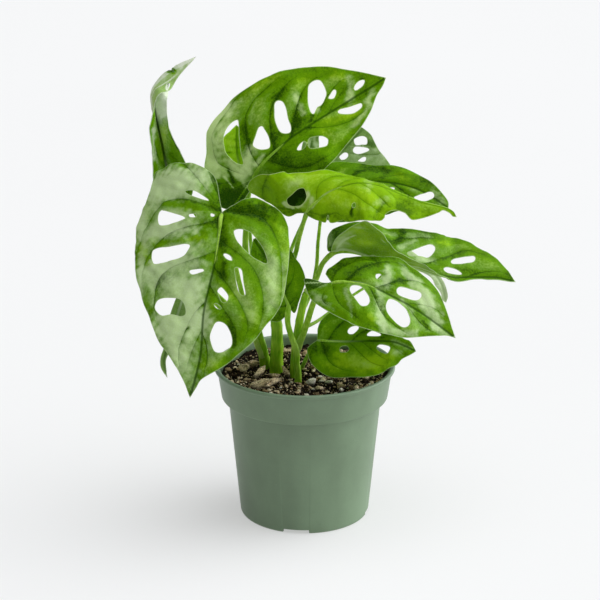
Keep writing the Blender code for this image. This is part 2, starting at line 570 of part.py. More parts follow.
def blade_mesh(name, leaf):
    """The blade as one open sheet: its flat outline and holes are divided into triangles,
    whose corners are then put in their places on the curved blade."""
    outline = blade_outline(leaf)
    holes = [hole_outline(hole) for hole in leaf["holes"]
             if min(np.ptp(hole, axis=0)) >= HOLE_LEAST_WIDTH]
    length = midrib_length(leaf)
    rings = [outline] + holes
    edge_points = np.vstack(rings)

    low, high = outline.min(axis=0), outline.max(axis=0)
    rows = np.arange(low[0], high[0], LATTICE * 0.87)
    columns = np.arange(low[1] - high[1], high[1] - low[1], LATTICE)
    grid_u, grid_v = np.meshgrid(rows, columns, indexing="ij")
    grid_v = grid_v + (np.arange(len(rows)) % 2)[:, None] * LATTICE / 2
    inner = np.stack([grid_u.ravel(), grid_v.ravel()], -1)
    spine = np.stack([np.arange(LATTICE * 0.8, length - 4, LATTICE * 0.8)] * 2, -1) * [1, 0]
    inner = inner[np.abs(inner[:, 1]) > LATTICE * 0.4]
    inner = inner[inside(inner, outline)]
    clear = np.linalg.norm(inner[:, None] - edge_points[None], axis=-1).min(axis=1) > LATTICE * 0.42
    inner = inner[clear]
    for hole in holes:
        inner = inner[~inside(inner, hole)]
        spine = spine[~inside(spine, hole)]

    edges = []
    count = 0
    for ring in rings:
        edges += [(count + i, count + (i + 1) % len(ring)) for i in range(len(ring))]
        count += len(ring)
    flat = np.vstack([edge_points, spine, inner])
    result = delaunay_2d_cdt([Vector(p) for p in flat], edges, [], 0, 1e-4)
    corners = np.array([tuple(p) for p in result[0]])
    faces = np.array([face for face in result[2] if len(face) == 3])
    centres = corners[faces].mean(axis=1)
    keep = inside(centres, outline)
    for hole in holes:
        keep &= ~inside(centres, hole)
    faces = faces[keep]
    sides = corners[faces]
    first, second = sides[:, 1] - sides[:, 0], sides[:, 2] - sides[:, 0]
    turned = first[:, 0] * second[:, 1] - first[:, 1] * second[:, 0] > 0
    faces[turned] = faces[turned][:, ::-1]
    used = np.unique(faces)
    faces = np.searchsorted(used, faces)
    corners = corners[used]

    mesh = bpy.data.meshes.new(name)
    places = blade_points(leaf, corners[:, 0], corners[:, 1]) * MM
    mesh.from_pydata(places.tolist(), [], faces.tolist())
    return mesh


def make_leaf(name, leaf, collection, cutters, stem_cutters, mat):
    """One leaf: a thin blade with its holes, a rib under it and its leaf stalk."""
    obj = add_object(name, blade_mesh(name, leaf), collection)
    wall = obj.modifiers.new("thickness", "SOLIDIFY")
    wall.thickness = BLADE_THICKNESS
    wall.offset = -1.0
    settle(obj)

    length = midrib_length(leaf)
    radius = leaf["petiole_radius"]
    stations = np.array([3.0, 0.14 * length, 0.28 * length, RIB_LENGTH * length])
    rib_line = blade_points(leaf, stations, np.zeros(4))
    beside = blade_points(leaf, stations, np.full(4, 2.0)) - blade_points(leaf, stations, np.full(4, -2.0))
    ahead = blade_points(leaf, stations + 2, np.zeros(4)) - rib_line
    under = unit(np.cross(ahead, beside))
    rib_line = rib_line + under * 0.75
    rib = tube(name + "_rib", rib_line, radius * 0.62, RIB_RADIUS * 0.6, cutters, 12.0, sides=0)
    stalk_route = leaf["petiole"][:-1] + [tuple(rib_line[0])]
    stalk = tube(name + "_stalk", stalk_route, radius * 1.12, radius * 0.85, cutters, sides=1)
    union_all(obj, [rib, stalk], cutters)
    if leaf["stem"]:
        cut_all(obj, [stem_cutters[leaf["stem"]]])
    obj.data.materials.clear()
    obj.data.materials.append(mat)
    shade(obj, 50)
    return obj


# Pot and soil

def turned(name, profile, collection, mat):
    """A solid turned about the Z axis from a profile of (radius, height), starting and
    ending on the axis and running down its outer side."""
    mesh = bpy.data.meshes.new(name)
    edges = [(i, i + 1) for i in range(len(profile) - 1)]
    mesh.from_pydata([(radius, 0.0, height) for radius, height in profile], edges, [])
    obj = add_object(name, mesh, collection)
    screw = obj.modifiers.new("turn", "SCREW")
    screw.steps = TURN_STEPS
    screw.render_steps = TURN_STEPS
    screw.use_merge_vertices = True
    screw.merge_threshold = 0.00001
    settle(obj)
    obj.data.materials.clear()
    obj.data.materials.append(mat)
    return obj


def inner_wall_radius(height):
    """The radius of the pot's inside at a height."""
    band_foot = POT_HEIGHT - BAND_HEIGHT
    if height <= band_foot:
        share = height / band_foot
        return WALL_BOTTOM_RADIUS + (WALL_TOP_RADIUS - WALL_BOTTOM_RADIUS) * share - WALL_THICKNESS
    share = (height - band_foot) / BAND_HEIGHT
    return BAND_BOTTOM_RADIUS + (BAND_TOP_RADIUS - BAND_BOTTOM_RADIUS) * share - 1.5 * MM


def make_pot(collection, cutters):
    """The pot: a turned wall with a lip and a band, notched at the foot, with drain holes."""
    foot = POT_HEIGHT - BAND_HEIGHT
    profile = [
        (0.0, FLOOR_TOP),
        (inner_wall_radius(FLOOR_TOP) - 0.8 * MM, FLOOR_TOP),
        (inner_wall_radius(FLOOR_TOP) + 0.1 * MM, FLOOR_TOP + 1.2 * MM),
        (inner_wall_radius(foot) - 0.1 * MM, foot - 0.4 * MM),
        (inner_wall_radius(foot) + 0.7 * MM, foot + 0.9 * MM),
        (BAND_BOTTOM_RADIUS - 1.6 * MM, foot + 1.6 * MM),
        (LIP_INNER_RADIUS - 0.8 * MM, POT_HEIGHT - 1.5 * MM),
        (LIP_INNER_RADIUS + 0.1 * MM, POT_HEIGHT - 0.3 * MM),
        (LIP_INNER_RADIUS + 0.8 * MM, POT_HEIGHT),
        (LIP_RADIUS - 0.6 * MM, POT_HEIGHT),
        (LIP_RADIUS, POT_HEIGHT - 0.6 * MM),
        (LIP_RADIUS, POT_HEIGHT - 1.7 * MM),
        (LIP_RADIUS - 0.5 * MM, POT_HEIGHT - 2.2 * MM),
        (BAND_TOP_RADIUS, POT_HEIGHT - 2.4 * MM),
        (BAND_BOTTOM_RADIUS, foot + 0.7 * MM),
        (BAND_BOTTOM_RADIUS - 0.5 * MM, foot + 0.1 * MM),
        (BAND_BOTTOM_RADIUS - 1.3 * MM, foot),
        (WALL_TOP_RADIUS + 0.6 * MM, foot),
        (WALL_TOP_RADIUS, foot - 0.6 * MM),
        (WALL_BOTTOM_RADIUS, 1.0 * MM),
        (WALL_BOTTOM_RADIUS - 0.8 * MM, 0.0),
        (FOOT_INNER_RADIUS, 0.0),
        (FOOT_INNER_RADIUS - 0.3 * MM, FLOOR_UNDERSIDE),
        (0.0, FLOOR_UNDERSIDE),
    ]
    pot = turned("pot", profile, collection, material("pot_plastic", POT_COLOUR, 0.55))
    tools = []
    for index in range(NOTCH_COUNT):
        turn = NOTCH_TURN + index * 2 * math.pi / NOTCH_COUNT
        bpy.ops.mesh.primitive_cube_add(size=1.0)
        notch = bpy.context.object
        notch.name = f"notch_{index + 1}"
        notch.scale = (7.0 * MM, NOTCH_WIDTH, 2 * NOTCH_HEIGHT)
        notch.location = (38.3 * MM * math.cos(turn), 38.3 * MM * math.sin(turn), 0.0)
        notch.rotation_euler.z = turn
        tools.append(notch)
        bpy.ops.mesh.primitive_cylinder_add(vertices=16, radius=DRAIN_RADIUS, depth=12 * MM)
        drain = bpy.context.object
        drain.name = f"drain_{index + 1}"
        middle = turn + math.pi / NOTCH_COUNT
        drain.location = (DRAIN_CIRCLE * math.cos(middle), DRAIN_CIRCLE * math.sin(middle), 0.0)
        tools.append(drain)
    for tool in tools:
        for owner in list(tool.users_collection):
            owner.objects.unlink(tool)
        cutters.objects.link(tool)
        hide_helper(tool)
    bpy.context.view_layer.update()
    cut_all(pot, tools)
    shade(pot, 30)
    return pot


def soil_relief(x, y):
    """The height of the soil's uneven top over its level, from three crossing waves."""
    return MM * (0.9 * math.sin(x / (9 * MM) + 1.3) * math.cos(y / (11 * MM))
                 + 0.7 * math.sin((x + y) / (6 * MM) + 0.4)
                 + 0.5 * math.cos((x - 2 * y) / (8 * MM)))


def box_piece(name, centre, size, turn, tilt, collection):
    """A chip of bark: a box with worn corners, turned about Z and tilted at one end."""
    bm = bmesh.new()
    bmesh.ops.create_cube(bm, size=1.0)
    bmesh.ops.scale(bm, vec=Vector(size) * MM, verts=bm.verts)
    width = min(size) * 0.28 * MM
    bmesh.ops.bevel(bm, geom=bm.edges, offset=width, segments=1, affect="EDGES")
    mesh = bpy.data.meshes.new(name)
    bm.to_mesh(mesh)
    bm.free()
    piece = add_object(name, mesh, collection)
    piece.location = Vector(centre) * MM
    piece.rotation_euler = (0.0, math.radians(-tilt), math.radians(turn))
    return piece


def crumb(name, centre, radius, flat, collection):
    """A rough crumb: a ball of twenty faces, pressed flat."""
    bm = bmesh.new()
    bmesh.ops.create_icosphere(bm, subdivisions=1, radius=radius)
    bmesh.ops.scale(bm, vec=(1.0, 0.8, flat), verts=bm.verts)
    mesh = bpy.data.meshes.new(name)
    bm.to_mesh(mesh)
    bm.free()
    piece = add_object(name, mesh, collection)
    piece.location = centre
    piece.rotation_euler = (centre[1] * 300, centre[0] * 200, centre[0] * 900)
    return piece


def make_soil(collection, cutters, feet, foot_cutters):
    """The soil: it fills the pot, its top is uneven and holds chips and crumbs, and each
    stem and leaf stalk that grows from it stands in a plain hole."""
    foot = POT_HEIGHT - BAND_HEIGHT
    rings = [(SOIL_RIM_RADIUS * ring / SOIL_RINGS, SOIL_TOP) for ring in range(SOIL_RINGS + 1)]
    profile = rings + [
        (BAND_BOTTOM_RADIUS - 1.6 * MM - GAP, foot + 2.1 * MM),
        (inner_wall_radius(foot) - 0.1 * MM - GAP, foot + 0.9 * MM),
        (inner_wall_radius(foot) - 0.1 * MM - GAP, foot - 0.5 * MM),
        (inner_wall_radius(FLOOR_TOP) - 0.2 * MM - GAP, FLOOR_TOP + 1.5 * MM),
        (inner_wall_radius(FLOOR_TOP) - 1.2 * MM - GAP, FLOOR_TOP + GAP),
        (0.0, FLOOR_TOP + GAP),
    ]
    soil = turned("soil", profile, collection, material("soil_peat", SOIL_COLOUR, 0.95))
    for vertex in soil.data.vertices:
        x, y, z = vertex.co
        if z > SOIL_TOP - 1e-6 and math.hypot(x, y) < SOIL_RIM_RADIUS - 1 * MM:
            vertex.co.z += soil_relief(x, y)

    pieces = []
    for index, (centre, length, width, thickness, turn, tilt) in enumerate(BARK_CHIPS):
        size = (length, width, thickness)
        pieces.append(box_piece(f"bark_{index + 1}", centre, size, turn, tilt, cutters))
    draw = random.Random(CRUMB_SEED)
    while len(pieces) < len(BARK_CHIPS) + CRUMB_COUNT:
        reach = 45 * MM * math.sqrt(draw.random())
        turn = draw.uniform(0, 2 * math.pi)
        x, y = reach * math.cos(turn), reach * math.sin(turn)
        radius = draw.uniform(1.6, 3.0) * MM
        flat = draw.uniform(0.6, 0.9)
        others = [Vector((*place, 0)) for place in feet]
        others += [Vector(piece.location.xy.to_3d()) for piece in pieces]
        if min((Vector((x, y, 0)) - other).length for other in others) < 7 * MM:
            continue
        centre = (x, y, SOIL_TOP + soil_relief(x, y) + 0.2 * MM)
        pieces.append(crumb(f"crumb_{len(pieces)}", centre, radius, flat, cutters))
    bpy.context.view_layer.update()
    union_all(soil, pieces, cutters)
    cut_all(soil, foot_cutters)
    shade(soil, 25)
    return soil


def main():
    """Builds every piece of the plant in its pot."""
    clear_scene()
    plant = new_collection("potted_monstera")
    cutters = new_collection("cutters")

    make_pot(plant, cutters)

    stem_mat = material("stem_green", STEM_COLOUR, 0.5)
    stem_cutters = {}
    feet = []
    for name, (radius, points) in STEMS.items():
        stem = tube(name, points, radius * 1.05, radius * 0.72, plant)
        stem.data.materials.append(stem_mat)
        shade(stem, 50)
        stem_cutters[name] = tube(name + "_room", longer(points, 0.4), radius * 1.05, radius * 0.72,
                                  cutters, grow=0.3)
        feet.append((points[1][0] * MM, points[1][1] * MM))
    foot_cutters = list(stem_cutters.values())
    for name, leaf in LEAVES.items():
        if leaf["stem"] is None:
            radius = leaf["petiole_radius"]
            route = longer(leaf["petiole"], 0.4)
            foot_cutters.append(tube(name + "_room", route, radius * 1.12, radius * 0.85, cutters, grow=0.3))
            feet.append((leaf["petiole"][1][0] * MM, leaf["petiole"][1][1] * MM))

    for name, leaf in LEAVES.items():
        mat = material(name, LEAF_COLOURS.get(name, LEAF_COLOUR), 0.45)
        make_leaf(name, leaf, plant, cutters, stem_cutters, mat)

    make_soil(plant, cutters, feet, foot_cutters)
    for tool in cutters.objects:
        hide_helper(tool)


main()
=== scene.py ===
# %% [markdown]
# # A small monstera in its nursery pot
# This lesson dresses a plant that was first built as plain solids. The solids fix every
# size and place. Here each one gets its fine shape, its veins, its grain and its colour.
# All lengths in the tables are millimetres, because that is how a plant is measured with
# a ruler. They become metres in one place, when a mesh is made.

# %% The solids that everything is built on
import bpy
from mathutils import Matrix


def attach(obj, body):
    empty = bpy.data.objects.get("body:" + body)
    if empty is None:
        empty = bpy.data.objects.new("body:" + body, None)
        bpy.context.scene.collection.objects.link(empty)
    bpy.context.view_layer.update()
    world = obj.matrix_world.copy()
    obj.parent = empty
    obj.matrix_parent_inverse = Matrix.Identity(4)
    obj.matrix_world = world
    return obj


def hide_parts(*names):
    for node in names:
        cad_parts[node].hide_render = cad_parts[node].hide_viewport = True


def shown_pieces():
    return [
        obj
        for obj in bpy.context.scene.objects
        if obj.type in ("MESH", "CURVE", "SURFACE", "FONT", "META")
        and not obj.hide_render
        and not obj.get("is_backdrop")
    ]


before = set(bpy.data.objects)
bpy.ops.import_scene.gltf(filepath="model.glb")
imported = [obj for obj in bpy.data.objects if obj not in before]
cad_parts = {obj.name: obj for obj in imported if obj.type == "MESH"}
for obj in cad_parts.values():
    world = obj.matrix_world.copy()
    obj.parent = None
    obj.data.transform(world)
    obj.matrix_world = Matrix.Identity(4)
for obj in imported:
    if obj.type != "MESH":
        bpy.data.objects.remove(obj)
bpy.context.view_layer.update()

import math

import bmesh
import bpy
import numpy as np
from mathutils import Vector
from mathutils.geometry import delaunay_2d_cdt

MM = 0.001
print("solids:", ", ".join(sorted(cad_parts)))

# %% [markdown]
# ## Where the camera stands
# The camera comes first, because every later step is judged through it. It stands 1.2 m
# in front of the pot and looks down by about nineteen degrees. A long lens keeps the pot's
# sides nearly parallel, as a product photograph does.

# %% Camera
# The place is in metres, the tilt in degrees from straight down, the lens in millimetres.
CAMERA_PLACE = (-0.0028, -1.2, 0.544)
CAMERA_TILT = 71.12
LENS = 128.8


def place_camera():
    """A camera at the front, with a long lens and no shift."""
    data = bpy.data.cameras.new("front_camera")
    data.sensor_width = 36.0
    data.lens = LENS
    data.clip_start, data.clip_end = 0.05, 50.0
    camera = bpy.data.objects.new("front_camera", data)
    bpy.context.scene.collection.objects.link(camera)
    camera.location = CAMERA_PLACE
    camera.rotation_euler = (math.radians(CAMERA_TILT), 0.0, 0.0)
    bpy.context.scene.camera = camera
    return camera


camera = place_camera()
print("camera at", tuple(round(x, 4) for x in camera.location))

# %% [markdown]
# ## Turning arrays into a mesh
# Every piece below is worked out as whole arrays of points and triangles. A small class
# keeps a piece's points, its triangles, the material slot of each triangle and any number
# that a material will want to read, such as the distance from a vein. Shapes are put
# together with a plus sign or with sum(), and one function turns the result into a mesh.

# %% Shapes as arrays
class Shape:
    """Points in mm, triangles, a material slot for each triangle, and painted values:
    one number a point, by name."""

    def __init__(self, points, faces, slot=0, **paint):
        self.points = np.asarray(points, float)
        self.faces = np.asarray(faces, int)
        self.slots = np.broadcast_to(slot, len(self.faces)).astype(int)
        self.paint = {name: np.broadcast_to(value, len(self.points)).astype(float)
                      for name, value in paint.items()}

    def __add__(self, other):
        whole = Shape(np.vstack([self.points, other.points]),
                      np.vstack([self.faces, other.faces + len(self.points)]))
        whole.slots = np.append(self.slots, other.slots)
        for name in sorted(set(self.paint) | set(other.paint)):
            mine = self.paint.get(name, np.zeros(len(self.points)))
            theirs = other.paint.get(name, np.zeros(len(other.points)))
            whole.paint[name] = np.append(mine, theirs)
        return whole

    def __radd__(self, nothing):
        """Lets sum() start from 0."""
        return self


def tube_faces(rows, around):
    """Triangles of a tube of rows, each with around points, and of a fan at either end,
    whose middle points come last. They look outwards where the rings turn right-handed
    about the way from the first row to the last."""
    row = np.arange(rows - 1)[:, None] * around
    here, there = np.arange(around), (np.arange(around) + 1) % around
    a, b, c, d = row + here, row + there, row + around + there, row + around + here
    sides = [np.stack(corners, -1).reshape(-1, 3) for corners in ((a, b, c), (a, c, d))]
    end, middle = (rows - 1) * around, rows * around
    fans = [np.stack([there, here, np.full(around, middle)], -1),
            np.stack([end + here, end + there, np.full(around, middle + 1)], -1)]
    return np.vstack(sides + fans)


def make_piece(name, shape, materials, node, sharp=50):
    """Turns a shape into an object at the origin, on the body root, in place of a solid."""
    mesh = bpy.data.meshes.new(name)
    mesh.vertices.add(len(shape.points))
    mesh.vertices.foreach_set("co", (shape.points * MM).ravel())
    mesh.loops.add(shape.faces.size)
    mesh.loops.foreach_set("vertex_index", shape.faces.ravel())
    mesh.polygons.add(len(shape.faces))
    mesh.polygons.foreach_set("loop_start", np.arange(0, shape.faces.size, 3))
    for material in materials:
        mesh.materials.append(material)
    mesh.polygons.foreach_set("material_index", shape.slots)
    mesh.update(calc_edges=True)
    for label, values in shape.paint.items():
        layer = mesh.attributes.new(label, "FLOAT", "POINT")
        layer.data.foreach_set("value", values)
    mesh.shade_smooth()
    mesh.set_sharp_from_angle(angle=math.radians(sharp))
    piece = bpy.data.objects.new(name, mesh)
    bpy.context.scene.collection.objects.link(piece)
    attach(piece, "root")
    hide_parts(node)
    print(f"{name}: {len(shape.faces)} triangles")
    return piece


print("a tube of 3 rings of 8 points:", len(tube_faces(3, 8)), "triangles")

# %% [markdown]
# ## Smooth lines
# A midrib, a leaf stalk and a leaf's outline are all given as a few points. A Catmull-Rom
# curve runs through every one of them, so a point in a table is a place that the line
# really passes. Points at even steps along it keep the triangles even too.

# %% Curves
def smooth_curve(points, per_span=12):
    """A curve that passes through every point: cubic spans whose slope at a point is half
    the step between its neighbours."""
    p = np.asarray(points, float)
    p = np.vstack([2 * p[0] - p[1], p, 2 * p[-1] - p[-2]])
    t = np.linspace(0, 1, per_span, endpoint=False)[:, None]
    spans = []
    for a, b, c, d in zip(p, p[1:], p[2:], p[3:]):
        spans.append(0.5 * (2 * b + (c - a) * t + (2 * a - 5 * b + 4 * c - d) * t ** 2
                            + (3 * b - a - 3 * c + d) * t ** 3))
    return np.vstack(spans + [p[-2:-1]])


def run_length(points):
    """The length along a line up to each of its points."""
    return np.append(0, np.cumsum(np.linalg.norm(np.diff(points, axis=0), axis=1)))


def points_at(line, run, at):
    """Places on a line at given lengths along it."""
    return np.stack([np.interp(at, run, line[:, k]) for k in range(line.shape[1])], -1)


def even_points(points, step):
    """Points at even steps of about one length along the smooth curve."""
    line = smooth_curve(points, 24)
    run = run_length(line)
    return points_at(line, run, np.linspace(0, run[-1], max(2, round(run[-1] / step)) + 1))


def unit(vectors):
    """Vectors of length one."""
    return vectors / np.maximum(np.linalg.norm(vectors, axis=-1, keepdims=True), 1e-9)


def step_up(value, low, high):
    """Rises smoothly from 0 at low to 1 at high: three squares less two cubes."""
    t = np.clip((np.asarray(value, float) - low) / (high - low), 0, 1)
    return t * t * (3 - 2 * t)


def ripples(x, y, length, seed, count=7):
    """Uneven ground between about -1 and 1: sines of random direction and shift, with
    wavelengths near the length asked for, added together."""
    draw = np.random.default_rng(seed)
    turn = draw.uniform(0, 2 * np.pi, count)
    wave = 2 * np.pi / (length * draw.uniform(0.7, 1.5, count))
    shift = draw.uniform(0, 2 * np.pi, count)
    x, y = np.asarray(x, float)[..., None], np.asarray(y, float)[..., None]
    total = np.sin((x * np.cos(turn) + y * np.sin(turn)) * wave + shift).sum(-1)
    return total / math.sqrt(count * 2)


print("a curve through 3 points has", len(smooth_curve([(0, 0), (1, 1), (2, 0)])), "points")
